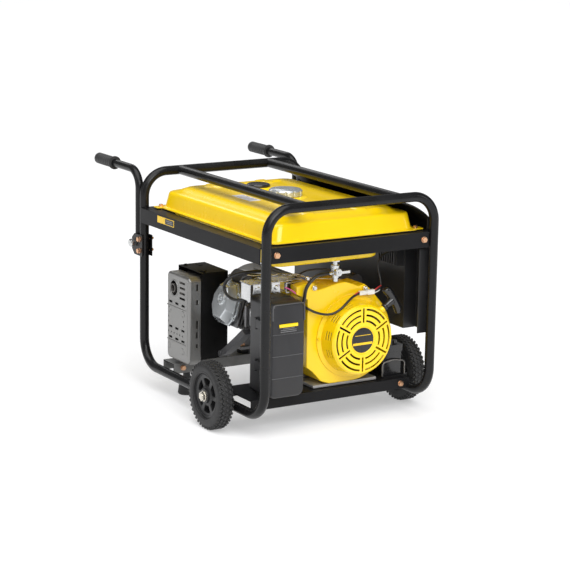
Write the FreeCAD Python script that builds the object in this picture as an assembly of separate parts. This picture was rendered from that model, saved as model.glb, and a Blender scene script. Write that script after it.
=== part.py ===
import FreeCAD, Part
import math
import os

# Portable generator: an open tubular frame on two wheels, with a fuel tank,
# an air-cooled engine, an alternator and a control panel.
# Lengths in millimetres. +Z is up, +X is the control panel's side, +Y is the
# handles' end. Everything is laid out about the middle of the tubular frame,
# on the ground, and moved at the end so that the origin lies under the middle
# of the whole object's box.

os.makedirs("parts", exist_ok=True)

V = FreeCAD.Vector
X_AXIS = V(1, 0, 0)
Y_AXIS = V(0, 1, 0)
Z_AXIS = V(0, 0, 1)

# ---------------------------------------------------------------- dimensions

BOX_CENTRE_Y = 133.9        # middle of the whole box, measured from the frame's middle

# Tubular frame
TUBE_R = 12.7
TUBE_WALL = 1.6
POST_X = 250.5
POST_Y = 322.5
BASE_Z = 65.0
TOP_Z = 595.0
TOP_BEND = 66.0
BASE_BEND = 72.0
BASE_TUBE_END_Y = 245.0
TOP_TUBE_X = 141.0

# Rails that carry the tank
RAIL_TOP = 500.0
RAIL_LEG = 40.0
RAIL_T = 3.0
RAIL_BOLT_X = 221.0
RAIL_BOLT_Z = 481.0

# Cross members under the engine and the alternator
CROSS_TOP = 94.0
CROSS_BOTTOM = 66.0
CROSS_T = 3.0
CROSS_NEAR = (-245.0, -95.0)
CROSS_FAR = (165.0, 225.0)

# Wheels
WHEEL_Y = -132.0
WHEEL_R = 89.0
WHEEL_IN = 274.0
WHEEL_OUT = 316.0
RIM_R = 57.0
AXLE_R = 8.0
RUN_GAP = 0.05              # radial clearance of every running fit
AXLE_END = 326.0

# Feet
FOOT_X = 190.0
FOOT_Y = 190.0

# Folding handles
HANDLE_R = 11.1
HANDLE_Y = 352.0
PIVOT_Z = 398.0
PIVOT_R = 4.0
HANDLE_TOP = 596.0
HANDLE_BEND = 50.0
HANDLE_END = 597.0
GRIP_START = 500.0
GRIP_END = 603.0
GRIP_R = 15.5

# Fuel tank
FLANGE_X = 238.0
FLANGE_Y = 303.0
FLANGE_BOTTOM = 503.0
FLANGE_TOP = 505.5
TANK_X = 213.0
TANK_Y = 292.0
TANK_SHOULDER = 547.0
TANK_TOP = 561.0
TANK_BOTTOM = 438.0
SHEET = 2.0
TANK_BOLT_X = 221.0
TANK_BOLT_Y = 283.0

# Engine and alternator
CRANK_X = 66.0
CRANK_Z = 225.0
SHAFT_R = 17.5
CASE_NEAR = -146.0
CASE_FAR = 80.0
CASE_BOTTOM = 104.0
LEAN = 15.0                 # cylinder's angle above the horizontal
CYLINDER_Y = 20.0
BLOWER_R = 121.0
BLOWER_NEAR = -230.0
BLOWER_FAR = -146.0
COVER_FRONT = -285.5
STATOR_R = 96.0
ALTERNATOR_END = 296.0

# Air filter
FILTER_X = (-212.0, -112.0)
FILTER_Y = (-288.0, -180.0)
FILTER_Z = (102.0, 350.0)
FILTER_SPLIT = -232.0

# Muffler, its guard and its heat shield
GUARD_X = (-240.0, -205.0)
SHIELD_X = (-203.0, -125.0)
MUFFLER_Y = (86.0, 211.0)
MUFFLER_Z = (106.0, 345.0)

# Control panel
PANEL_X = 264.0
PANEL_BACK = 222.0
PANEL_Y = 303.0
PANEL_BOTTOM = 229.0
HOOD_CORNER_R = 50.0
HOOD_TOP_R = 190.0
HOOD_CORNER_Z = 500.0
HOOD_TURN = 48.5
HOOD_END = 77.6
PLATE_FACE = 266.5

# Recoil starter
PULL_ANGLE = 34.0
GUIDE = V(139.0, -262.0, 295.0)

shapes = {}


# ------------------------------------------------------------------- helpers

def block(low, high):
    """Box between two opposite corners."""
    size = [high[i] - low[i] for i in range(3)]
    return Part.makeBox(size[0], size[1], size[2], V(*low))


def straight_edges(solid, direction):
    """The straight edges of a solid that run along a direction."""
    found = []
    for edge in solid.Edges:
        if edge.Curve.TypeId != "Part::GeomLine":
            continue
        if abs(edge.Curve.Direction.dot(direction)) > 0.999:
            found.append(edge)
    return found


def rounded(low, high, radius, direction):
    """Box with its four edges along one direction rounded."""
    solid = block(low, high)
    return solid.makeFillet(radius, straight_edges(solid, direction))


def soft_block(low, high, radius):
    """Box with every edge rounded."""
    solid = block(low, high)
    return solid.makeFillet(radius, solid.Edges)


def rod(start, end, radius):
    """Cylinder between two points."""
    start = V(*start)
    along = V(*end) - start
    return Part.makeCylinder(radius, along.Length, start, along)


def pipe(start, end, outer, inner):
    """Tube between two points."""
    return rod(start, end, outer).cut(rod(start, end, inner))


def prism(points, plane, start, depth):
    """Polygon drawn in one plane and pushed along the third direction."""
    if plane == "XZ":
        corners = [V(a, start, b) for a, b in points]
        push = V(0, depth, 0)
    elif plane == "YZ":
        corners = [V(start, a, b) for a, b in points]
        push = V(depth, 0, 0)
    else:
        corners = [V(a, b, start) for a, b in points]
        push = V(0, 0, depth)
    outline = Part.makePolygon(corners + [corners[0]])
    return Part.Face(outline).extrude(push)


def turned(profile, centre, axis):
    """Solid of revolution of (radius, along) points about an axis."""
    if axis == "X":
        corners = [V(along, centre[1] + radius, centre[2]) for radius, along in profile]
        direction = X_AXIS
    elif axis == "Y":
        corners = [V(centre[0] + radius, along, centre[2]) for radius, along in profile]
        direction = Y_AXIS
    else:
        corners = [V(centre[0] + radius, centre[1], along) for radius, along in profile]
        direction = Z_AXIS
    outline = Part.makePolygon(corners + [corners[0]])
    return Part.Face(outline).revolve(V(*centre), direction, 360)


def bent_path(points, radii):
    """Wire of straight runs joined by tangent arcs, one radius per inner point."""
    edges = []
    last = points[0]
    for i in range(1, len(points) - 1):
        corner = points[i]
        back = (points[i - 1] - corner).normalize()
        ahead = (points[i + 1] - corner).normalize()
        half = back.getAngle(ahead) / 2.0
        reach = radii[i - 1] / math.tan(half)
        start = corner + back * reach
        end = corner + ahead * reach
        inward = (back + ahead).normalize()
        middle = corner + inward * (radii[i - 1] / math.sin(half) - radii[i - 1])
        if (start - last).Length > 0.01:
            edges.append(Part.LineSegment(last, start).toShape())
        edges.append(Part.Arc(start, middle, end).toShape())
        last = end
    edges.append(Part.LineSegment(last, points[-1]).toShape())
    return Part.Wire(edges)


def sweep(wire, radius):
    """Round bar along a wire."""
    first = wire.Edges[0]
    start = first.valueAt(first.FirstParameter)
    direction = first.tangentAt(first.FirstParameter)
    ring = Part.Wire([Part.Circle(start, direction, radius).toShape()])
    return wire.makePipeShell([ring], True, False)


def mirror_x(shape):
    return shape.mirror(V(0, 0, 0), X_AXIS)


def mirror_y(shape):
    return shape.mirror(V(0, 0, 0), Y_AXIS)


def spin(shape, centre, axis, angle):
    copy = shape.copy()
    copy.rotate(V(*centre), axis, angle)
    return copy


def hexagon(centre, direction, across, height):
    """Hexagonal bolt head or nut whose foot is at a centre point."""
    radius = across / math.sqrt(3.0)
    corners = []
    for i in range(6):
        angle = math.radians(60 * i)
        corners.append(V(radius * math.cos(angle), radius * math.sin(angle), 0))
    head = Part.Face(Part.makePolygon(corners + [corners[0]])).extrude(V(0, 0, height))
    turn = FreeCAD.Rotation(Z_AXIS, V(*direction))
    head.Placement = FreeCAD.Placement(V(*centre), turn)
    return head


def bolt(centre, direction, shank, across, head=6.0, radius=3.9):
    """Flanged bolt: head above the centre point, shank below it."""
    way = V(*direction).normalize()
    foot = V(*centre)
    washer = Part.makeCylinder(across * 0.62, 1.4, foot, way)
    hexagonal = hexagon(foot + way * 1.4, direction, across, head)
    stem = Part.makeCylinder(radius, shank, foot - way * shank, way)
    return washer.fuse([hexagonal, stem]).removeSplitter()


def join(pieces):
    """One solid from pieces that touch or overlap."""
    whole = pieces[0].fuse(pieces[1:])
    return whole.removeSplitter()


def group(pieces):
    """Several separate solids kept side by side in one node."""
    return Part.makeCompound(pieces)


def largest(shape):
    """The biggest solid of a shape, without the offcuts behind a wall."""
    return max(shape.Solids, key=lambda solid: solid.Volume)


def keep(name, shape):
    shapes[name] = shape


# ------------------------------------------------------------- tubular frame

def frame_hoop():
    """Near end hoop: two posts and a top bar, with feet bent back into the base."""
    corner_y = -POST_Y
    start_y = -BASE_TUBE_END_Y
    points = [
        V(-POST_X, start_y, BASE_Z),
        V(-POST_X, corner_y, BASE_Z),
        V(-POST_X, corner_y, TOP_Z),
        V(POST_X, corner_y, TOP_Z),
        V(POST_X, corner_y, BASE_Z),
        V(POST_X, start_y, BASE_Z),
    ]
    wire = bent_path(points, [BASE_BEND, TOP_BEND, TOP_BEND, BASE_BEND])
    return sweep(wire, TUBE_R).cut(sweep(wire, TUBE_R - TUBE_WALL))


hoop_near = frame_hoop()
hoop_far = mirror_y(hoop_near)

base_tube = pipe(
    (POST_X, -BASE_TUBE_END_Y, BASE_Z),
    (POST_X, BASE_TUBE_END_Y, BASE_Z),
    TUBE_R,
    TUBE_R - TUBE_WALL,
)
top_tube = pipe(
    (TOP_TUBE_X, -POST_Y, TOP_Z),
    (TOP_TUBE_X, POST_Y, TOP_Z),
    TUBE_R,
    TUBE_R - TUBE_WALL,
)
for side in (-1, 1):
    cope = rod((-POST_X, side * POST_Y, TOP_Z), (POST_X, side * POST_Y, TOP_Z), TUBE_R)
    top_tube = top_tube.cut(cope)
straight_tubes = [base_tube, mirror_x(base_tube), top_tube, mirror_x(top_tube)]


# ---------------------------------------------------- rails and cross members

def angle_rail(corner_x, corner_z, side, y_end):
    """Angle iron along Y: leg down at the corner, leg inward at the top."""
    down = block(
        (min(corner_x, corner_x + side * RAIL_T), -y_end, corner_z - RAIL_LEG),
        (max(corner_x, corner_x + side * RAIL_T), y_end, corner_z),
    )
    inward = block(
        (min(corner_x, corner_x + side * RAIL_LEG), -POST_Y + TUBE_R + 1, corner_z - RAIL_T),
        (max(corner_x, corner_x + side * RAIL_LEG), POST_Y - TUBE_R - 1, corner_z),
    )
    return join([down, inward])


left_rail = angle_rail(-POST_X - TUBE_R - RAIL_T, RAIL_TOP, 1, 316.0)
right_rail = angle_rail(260.0, RAIL_TOP, -1, 318.0)
for side in (-1, 1):
    post = rod((POST_X, side * POST_Y, 400), (POST_X, side * POST_Y, 550), TUBE_R)
    right_rail = right_rail.cut(post)

near_rail = prism(
    [
        (-POST_Y, RAIL_TOP - RAIL_LEG),
        (-POST_Y + RAIL_T, RAIL_TOP - RAIL_LEG),
        (-POST_Y + RAIL_T, RAIL_TOP - RAIL_T),
        (-POST_Y + RAIL_LEG, RAIL_TOP - RAIL_T),
        (-POST_Y + RAIL_LEG, RAIL_TOP),
        (-POST_Y, RAIL_TOP),
    ],
    "YZ",
    -236.0,
    472.0,
)
# The end rails stop short of the side rails' inward legs.
near_rail = near_rail.cut(block((-237, -POST_Y + 12.6, 440), (-222, -270, 510)))
near_rail = near_rail.cut(block((219, -POST_Y + 12.6, 440), (237, -270, 510)))
far_rail = mirror_y(near_rail)

# Tabs on the posts behind the end rails, which the rails are bolted to.
tabs = []
for x_side in (-1, 1):
    for y_side in (-1, 1):
        low_x = min(x_side * 205.0, x_side * (POST_X - TUBE_R + 0.4))
        high_x = max(x_side * 205.0, x_side * (POST_X - TUBE_R + 0.4))
        low_y = min(y_side * (POST_Y - RAIL_T), y_side * (POST_Y - 2 * RAIL_T))
        tab = block((low_x, low_y, 466.0), (high_x, low_y + RAIL_T, 496.0))
        post_place = (x_side * POST_X, y_side * POST_Y)
        tabs.append(tab.cut(rod((*post_place, 400), (*post_place, 530), TUBE_R)))


def cross_member(y_low, y_high):
    """Pressed tray across the frame between the two base tubes, open below."""
    half = POST_X - TUBE_R + 5.0
    outside = block((-half, y_low, CROSS_BOTTOM), (half, y_high, CROSS_TOP))
    inside = block(
        (-half - 1, y_low + CROSS_T, CROSS_BOTTOM - 1),
        (half + 1, y_high - CROSS_T, CROSS_TOP - CROSS_T),
    )
    tray = outside.cut(inside)
    for side in (-1, 1):
        x = side * POST_X
        tray = tray.cut(rod((x, y_low - 5, BASE_Z), (x, y_high + 5, BASE_Z), TUBE_R))
    return tray


cross_near = cross_member(*CROSS_NEAR)
cross_far = cross_member(*CROSS_FAR)


# ------------------------------------------------------------ rubber pieces

MOUNT_R = 17.0
MOUNT_POINTS = [(-34.0, -122.0), (152.0, -122.0), (-11.0, 195.0), (143.0, 195.0)]
mounts = [rod((x, y, CROSS_TOP), (x, y, CASE_BOTTOM), MOUNT_R) for x, y in MOUNT_POINTS]

feet = []
for side in (-1, 1):
    foot = turned(
        [(0, 0), (22, 0), (24, 4), (20, 34), (15, 38), (0, 38)],
        (side * FOOT_X, FOOT_Y, 0),
        "Z",
    )
    stem = rod((side * FOOT_X, FOOT_Y, 38), (side * FOOT_X, FOOT_Y, CROSS_TOP - CROSS_T), 10)
    feet.append(join([foot, stem]))

grommets = []
for x_side in (-1, 1):
    for y_side in (-1, 1):
        place = (x_side * TANK_BOLT_X, y_side * TANK_BOLT_Y)
        grommets.append(pipe((*place, RAIL_TOP), (*place, FLANGE_BOTTOM), 11, 3.9))


# --------------------------------------------------- wheels and stub axles

def tyre(side):
    """Tyre with round shoulders and a shallow groove round each side of its tread."""
    inner = WHEEL_IN + 1
    outer = WHEEL_OUT - 1
    profile = [
        (RIM_R, inner + 4),
        (RIM_R + 6, inner),
        (78, inner - 1),
        (85.5, inner + 3),
        (88, inner + 7),
        (88, inner + 12),
        (86, inner + 13),
        (86, inner + 15),
        (WHEEL_R, inner + 16),
        (WHEEL_R, outer - 16),
        (86, outer - 15),
        (86, outer - 13),
        (88, outer - 12),
        (88, outer - 7),
        (85.5, outer - 3),
        (78, outer + 1),
        (RIM_R + 6, outer),
        (RIM_R, outer - 4),
    ]
    shaped = [(radius, side * along) for radius, along in profile]
    return turned(shaped, (0, WHEEL_Y, WHEEL_R), "X")


def rim(side):
    """Dished wheel centre with six oval windows and a hub."""
    profile = [
        (AXLE_R + RUN_GAP, WHEEL_IN),
        (19, WHEEL_IN),
        (19, WHEEL_IN + 14),
        (RIM_R - 6, WHEEL_IN + 14),
        (RIM_R - 4, WHEEL_IN + 4),
        (RIM_R, WHEEL_IN + 5),
        (RIM_R, WHEEL_OUT - 5),
        (RIM_R - 4, WHEEL_OUT - 4),
        (RIM_R - 6, WHEEL_IN + 20),
        (22, WHEEL_IN + 20),
        (19, WHEEL_OUT),
        (AXLE_R + RUN_GAP, WHEEL_OUT),
    ]
    shaped = [(radius, side * along) for radius, along in profile]
    wheel = turned(shaped, (0, WHEEL_Y, WHEEL_R), "X")
    for i in range(6):
        middle = WHEEL_R + 36
        ends = [
            rod((side * 270, WHEEL_Y - 6, middle), (side * 320, WHEEL_Y - 6, middle), 7.5),
            rod((side * 270, WHEEL_Y + 6, middle), (side * 320, WHEEL_Y + 6, middle), 7.5),
            block(
                (min(side * 270, side * 320), WHEEL_Y - 6, middle - 7.5),
                (max(side * 270, side * 320), WHEEL_Y + 6, middle + 7.5),
            ),
        ]
        window = spin(join(ends), (0, WHEEL_Y, WHEEL_R), X_AXIS, 60 * i)
        wheel = wheel.cut(window)
    return wheel


axles = []
axle_brackets = []
for side in (-1, 1):
    centre = (WHEEL_Y, WHEEL_R)
    shaft = rod((side * 255, *centre), (side * AXLE_END, *centre), AXLE_R)
    inner_nut = hexagon((side * 262.8, *centre), (side, 0, 0), 24, -7.0)
    outer_washer = rod((side * 316.3, *centre), (side * 317.8, *centre), 14)
    outer_nut = hexagon((side * 317.8, *centre), (side, 0, 0), 22, 6.5)
    collar = rod((side * 268.8, *centre), (side * 273.7, *centre), 12)
    axles.append(join([shaft, outer_washer, outer_nut, collar]))
    plate = prism(
        [(-168, 56), (-96, 56), (-104, 104), (-114, 112), (-150, 112), (-160, 104)],
        "YZ",
        side * 263.4,
        side * 5.4,
    )
    gusset = prism([(-150, 76), (-114, 76), (-114, 84), (-150, 84)], "YZ", side * 246.0, side * 17.4)
    bracket = join([plate, gusset]).cut(rod((side * 200, *centre), (side * 290, *centre), AXLE_R))
    tube = rod((side * POST_X, -200, BASE_Z), (side * POST_X, -60, BASE_Z), TUBE_R)
    axle_brackets.append(bracket.cut(tube))


# --------------------------------------------------------- folding handles

def handle_tube(side):
    x = side * POST_X
    points = [V(x, HANDLE_Y, PIVOT_Z - 11), V(x, HANDLE_Y, HANDLE_TOP), V(x, HANDLE_END, HANDLE_TOP)]
    wire = bent_path(points, [HANDLE_BEND])
    tube = sweep(wire, HANDLE_R).cut(sweep(wire, HANDLE_R - 1.5))
    hole = rod((x - 30, HANDLE_Y, PIVOT_Z), (x + 30, HANDLE_Y, PIVOT_Z), PIVOT_R + RUN_GAP)
    return tube.cut(hole)


def handle_grip(side):
    """Ribbed sleeve over the end of a handle, closed at its end."""
    centre = (side * POST_X, 0, HANDLE_TOP)
    profile = [(HANDLE_R, GRIP_START), (GRIP_R + 3, GRIP_START), (GRIP_R + 3, GRIP_START + 4)]
    along = GRIP_START + 8
    while along < GRIP_END - 22:
        profile += [
            (GRIP_R - 1.5, along),
            (GRIP_R, along + 2),
            (GRIP_R, along + 6),
            (GRIP_R - 1.5, along + 8),
        ]
        along += 11
    profile += [
        (GRIP_R, GRIP_END - 12),
        (GRIP_R, GRIP_END - 5),
        (GRIP_R - 5, GRIP_END),
        (0, GRIP_END),
        (0, HANDLE_END),
        (HANDLE_R, HANDLE_END),
    ]
    return turned(profile, centre, "Y")


handle_brackets = []
handle_pivots = []
handle_bolts = []
for side in (-1, 1):
    outline = [(306, 366), (352, 366), (366, 380), (369, 398), (366, 412), (352, 424), (306, 424)]
    for inner in (POST_X + TUBE_R + 0.3, POST_X - TUBE_R - 3.1):
        cheek = prism(outline, "YZ", side * inner, side * 2.8)
        pivot_hole = rod((side * 200, HANDLE_Y, PIVOT_Z), (side * 300, HANDLE_Y, PIVOT_Z), PIVOT_R)
        handle_brackets.append(cheek.cut(pivot_hole))
    low_x = side * (POST_X - TUBE_R - 3.1)
    high_x = side * (POST_X + TUBE_R + 3.1)
    pin = rod((low_x - side * 7, HANDLE_Y, PIVOT_Z), (high_x + side * 3, HANDLE_Y, PIVOT_Z), PIVOT_R)
    nut = hexagon((low_x, HANDLE_Y, PIVOT_Z), (-side, 0, 0), 12, 5)
    knob = turned(
        [(0, 0), (7, 0), (7, 3), (11, 5), (11, 12), (8, 15), (0, 15)],
        (0, 0, 0),
        "X",
    )
    if side < 0:
        knob = mirror_x(knob)
    knob.translate(V(high_x, HANDLE_Y, PIVOT_Z))
    handle_pivots.append(join([pin, nut, knob]))
    for z in (380.0, 412.0):
        handle_bolts.append(bolt((high_x, POST_Y, z), (side, 0, 0), 42, 12, 5))


# ------------------------------------------------------------------ fuel tank

def crowned(half_x, half_y, bottom, shoulder, top, inset):
    """Pressed tank shell: leaning walls, bevelled shoulders and a flat top."""
    levels = [
        (half_x, half_y, bottom),
        (half_x - 6, half_y - 7, shoulder),
        (half_x - 6 - inset, half_y - 7 - inset * 0.6, top),
    ]
    wires = []
    for x, y, z in levels:
        corner = min(26.0, x * 0.2)
        flat = rounded((-x, -y, z), (x, y, z + 1), corner, Z_AXIS)
        lowest = min(flat.Faces, key=lambda face: face.CenterOfMass.z)
        wires.append(lowest.OuterWire)
    return Part.makeLoft(wires, True, True)


flange = rounded(
    (-FLANGE_X + 12, -FLANGE_Y, FLANGE_BOTTOM),
    (FLANGE_X - 12, FLANGE_Y, FLANGE_TOP),
    24,
    Z_AXIS,
)
ears = [
    rounded(
        (x_side * 222 - 16, y_side * 283 - 14, FLANGE_BOTTOM),
        (x_side * 222 + 16, y_side * 283 + 14, FLANGE_TOP),
        6,
        Z_AXIS,
    )
    for x_side in (-1, 1)
    for y_side in (-1, 1)
]
upper = crowned(TANK_X, TANK_Y, FLANGE_BOTTOM, TANK_SHOULDER, TANK_TOP, 42)
upper_inside = crowned(
    TANK_X - SHEET, TANK_Y - SHEET, FLANGE_TOP, TANK_SHOULDER - SHEET, TANK_TOP - SHEET, 42
)
deep = rounded((-196, -272, TANK_BOTTOM), (122, 272, FLANGE_TOP), 22, Z_AXIS)
deep = deep.makeFillet(14, [edge for edge in deep.Edges if edge.BoundBox.ZMax < TANK_BOTTOM + 1])
deep_inside = rounded(
    (-196 + SHEET, -272 + SHEET, TANK_BOTTOM + SHEET), (122 - SHEET, 272 - SHEET, 520), 20, Z_AXIS
)
deep_inside = deep_inside.makeFillet(
    12, [edge for edge in deep_inside.Edges if edge.BoundBox.ZMax < TANK_BOTTOM + SHEET + 1]
)
shallow = rounded((90, -272, 472), (204, 272, FLANGE_TOP), 20, Z_AXIS)
shallow_inside = rounded((90, -270, 474), (202, 270, 520), 18, Z_AXIS)
neck = pipe((0, 0, TANK_TOP - SHEET), (0, 0, 572), 36, 33)
neck_seat = rod((0, 0, TANK_TOP - SHEET), (0, 0, 563.5), 52)
gauge_pad = rod((0, 140, TANK_TOP - SHEET), (0, 140, 566), 38)
tank = join([flange] + ears + [upper, deep, shallow, neck_seat, gauge_pad])
tank = tank.cut([upper_inside, deep_inside, shallow_inside])
tank = join([tank, neck])
tank = tank.cut(rod((0, 0, 540), (0, 0, 580), 33))
tank = tank.cut(rod((0, 140, 540), (0, 140, 580), 20))
for rib_y in (-215.0, -170.0, 210.0):
    tank = join([tank, rounded((-120, rib_y, 559), (120, rib_y + 22, 563.5), 10, Z_AXIS)])
tank_bolts = []
for x_side in (-1, 1):
    for y_side in (-1, 1):
        place = (x_side * TANK_BOLT_X, y_side * TANK_BOLT_Y, FLANGE_TOP)
        one = bolt(place, (0, 0, 1), 16, 11, 5, 3.9)
        tank_bolts.append(one)
tank = tank.cut(tank_bolts)

cap_rim = turned(
    [(0, 576), (0, 583), (26, 583), (40, 581), (45, 577), (45, 564.5), (37, 564.5), (37, 576)],
    (0, 0, 0),
    "Z",
)
for i in range(12):
    notch = rod((46.5, 0, 560), (46.5, 0, 580), 4.5)
    cap_rim = cap_rim.cut(spin(notch, (0, 0, 0), Z_AXIS, 30 * i))
cap_plug = pipe((0, 0, 563), (0, 0, 576), 32.95, 29)
fuel_cap = join([cap_rim, cap_plug])

gauge = turned(
    [(0, 556), (19.9, 556), (19.9, 566), (32, 566), (32, 571), (29, 573.5), (0, 574.5)],
    (0, 140, 0),
    "Z",
)

# Fuel valve under the tank, with a hose to the carburettor.
valve_x = 5.0
valve_y = -240.0
fuel_valve = join([
    rod((valve_x, valve_y, 410), (valve_x, valve_y, TANK_BOTTOM), 6),
    hexagon((valve_x, valve_y, 429.5), (0, 0, 1), 22, 8),
    rod((valve_x, valve_y, 388), (valve_x, valve_y, 420), 11),
    rod((valve_x, valve_y, 378), (valve_x, valve_y, 390), 8.5),
    rod((valve_x - 19, valve_y, 399), (valve_x, valve_y, 399), 4),
    rod((valve_x, valve_y - 17, 403), (valve_x, valve_y, 403), 10),
    rod((valve_x, valve_y - 21, 403), (valve_x, valve_y, 403), 3),
])
lever_plate = rod((valve_x, valve_y - 20, 403), (valve_x, valve_y - 17.3, 403), 9)
lever_arm = block((valve_x, valve_y - 20, 399.5), (valve_x + 33, valve_y - 17.3, 406.5))
lever_hole = rod((valve_x, valve_y - 25, 403), (valve_x, valve_y, 403), 3 + RUN_GAP)
fuel_valve_lever = join([lever_plate, lever_arm]).cut(lever_hole)


def tangent_radii(points):
    """Largest sensible bend radius at each inner point of a route."""
    radii = []
    for i in range(1, len(points) - 1):
        back = points[i - 1] - points[i]
        ahead = points[i + 1] - points[i]
        turn = math.pi - back.getAngle(ahead)
        radii.append(0.45 * min(back.Length, ahead.Length) / math.tan(turn / 2.0))
    return radii


def cord(name, points, radius):
    """Round cord along a route of straight runs and large tangent arcs."""
    radii = tangent_radii(points)
    wire = bent_path(points, radii)
    solid = sweep(wire, radius)
    ratio = solid.Volume / (math.pi * radius ** 2 * wire.Length)
    print(name, "length", round(wire.Length, 1), "volume ratio", round(ratio, 4))
    print("  bend radii", [round(r) for r in radii])
    return solid


HOSE_R = 4.5
INLET = V(-92.0, -125.0, 262.0)
fuel_hose = cord(
    "fuel hose",
    [
        V(valve_x - 19, valve_y, 399),
        V(valve_x - 55, valve_y, 399),
        V(valve_x - 88, valve_y, 372),
        V(valve_x - 93, valve_y + 1, 322),
        V(valve_x - 97, valve_y + 42, 280),
        INLET,
    ],
    HOSE_R,
)


# --------------------------------------------------------------------- engine

def around_crank(shape):
    """Lay a shape built along -X from the crank over to the cylinder's lean."""
    return spin(shape, (CRANK_X, 0, CRANK_Z), Y_AXIS, LEAN)


def along_y(y_start, y_end, radius, x=CRANK_X, z=CRANK_Z):
    return rod((x, y_start, z), (x, y_end, z), radius)


crankcase = prism(
    [
        (-52, CASE_BOTTOM),
        (170, CASE_BOTTOM),
        (170, 113),
        (142, 113),
        (140, 118),
        (140, 262),
        (118, 300),
        (20, 312),
        (-14, 296),
        (-14, 118),
        (-18, 113),
        (-52, 113),
    ],
    "XZ",
    CASE_NEAR,
    CASE_FAR - CASE_NEAR,
)
case_edges = [edge for edge in straight_edges(crankcase, Y_AXIS) if edge.CenterOfMass.z > 250]
crankcase = crankcase.makeFillet(12, case_edges)
side_cover = along_y(CASE_NEAR + 4, CASE_FAR - 4, 92).common(block((100, -200, 110), (163, 100, 300)))
filler = rod((140, -70, 150), (166, -70, 172), 12)
filler_cap = rod((163, -70, 169.5), (172, -70, 177), 15)
crankcase = join([crankcase, side_cover, filler, filler_cap])
crankcase = crankcase.cut(rounded((-2, CASE_NEAR + 10, 118), (128, CASE_FAR - 12, 288), 20, Y_AXIS))
crankcase = crankcase.cut(along_y(CASE_NEAR - 1, CASE_FAR + 1, SHAFT_R + RUN_GAP))

fins = [
    block(
        (CRANK_X - along - 1.5, CYLINDER_Y - 56, CRANK_Z - 56),
        (CRANK_X - along + 1.5, CYLINDER_Y + 56, CRANK_Z + 56),
    )
    for along in range(96, 224, 9)
]
core = rounded(
    (CRANK_X - 224, CYLINDER_Y - 44, CRANK_Z - 44),
    (CRANK_X - 70, CYLINDER_Y + 44, CRANK_Z + 44),
    18,
    X_AXIS,
)
head_face = rounded(
    (CRANK_X - 228, CYLINDER_Y - 48, CRANK_Z - 46),
    (CRANK_X - 220, CYLINDER_Y + 48, CRANK_Z + 46),
    20,
    X_AXIS,
)
cylinder = around_crank(join([core, head_face] + fins)).cut(crankcase)
bore = rod((CRANK_X - 200, CYLINDER_Y, CRANK_Z), (CRANK_X - 60, CYLINDER_Y, CRANK_Z), 34)
cylinder = largest(cylinder.cut(around_crank(bore)))

cover_outline = [
    (-44, -18), (-26, -42), (26, -42), (44, -18),
    (44, 18), (26, 42), (-26, 42), (-44, 18),
]
cover_points = [(CYLINDER_Y + a, CRANK_Z + b) for a, b in cover_outline]
lid_points = [(CYLINDER_Y + a * 1.09, CRANK_Z + b * 1.09) for a, b in cover_outline]
valve_dome = prism(cover_points, "YZ", CRANK_X - 258, 28)
valve_dome = valve_dome.makeFillet(
    9, [edge for edge in valve_dome.Edges if edge.BoundBox.XMax < CRANK_X - 257]
)
valve_lip = prism(lid_points, "YZ", CRANK_X - 232, 4)
screw_places = [
    (CYLINDER_Y + a, CRANK_Z + b)
    for a in (-40, 40)
    for b in (-31, 31)
]
cover_screws = [hexagon((CRANK_X - 232, *place), (-1, 0, 0), 9, 4) for place in screw_places]
screw_pads = [rod((CRANK_X - 232, *place), (CRANK_X - 228, *place), 8) for place in screw_places]
breather_x = CRANK_X - 246
breather = rod((breather_x, CYLINDER_Y, CRANK_Z + 38), (breather_x, CYLINDER_Y, CRANK_Z + 56), 6)
valve_cover = around_crank(join([valve_dome, valve_lip, breather] + cover_screws + screw_pads))

shroud_low = (CRANK_X - 214, CYLINDER_Y - 66, CRANK_Z - 30)
shroud_high = (CRANK_X - 84, CYLINDER_Y + 59, CRANK_Z + 92)
shroud = block(shroud_low, shroud_high)
shroud = shroud.makeFillet(
    40, [edge for edge in straight_edges(shroud, X_AXIS) if edge.CenterOfMass.z > CRANK_Z]
)
shroud_inner = block(
    (shroud_low[0] - 1, shroud_low[1] + 2, shroud_low[2] - 1),
    (shroud_high[0] + 1, shroud_high[1] - 2, shroud_high[2] - 2),
)
shroud_inner = shroud_inner.makeFillet(
    38, [edge for edge in straight_edges(shroud_inner, X_AXIS) if edge.CenterOfMass.z > CRANK_Z]
)
end_ring = block(shroud_low, (shroud_low[0] + 3, shroud_high[1], shroud_high[2])).common(shroud)
end_ring = end_ring.cut(
    rounded(
        (shroud_low[0] - 1, CYLINDER_Y - 57, CRANK_Z - 90),
        (shroud_low[0] + 6, CYLINDER_Y + 57, CRANK_Z + 58),
        2,
        X_AXIS,
    )
)
cylinder_shroud = around_crank(join([shroud.cut(shroud_inner), end_ring])).cut(crankcase)

# Blower housing: a spiral case round the flywheel, open at its back.
def round_crank(radius, degrees, y=0.0):
    """Point at a distance and an angle from the crank's axis."""
    angle = math.radians(degrees)
    return V(CRANK_X + radius * math.cos(angle), y, CRANK_Z + radius * math.sin(angle))


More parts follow.
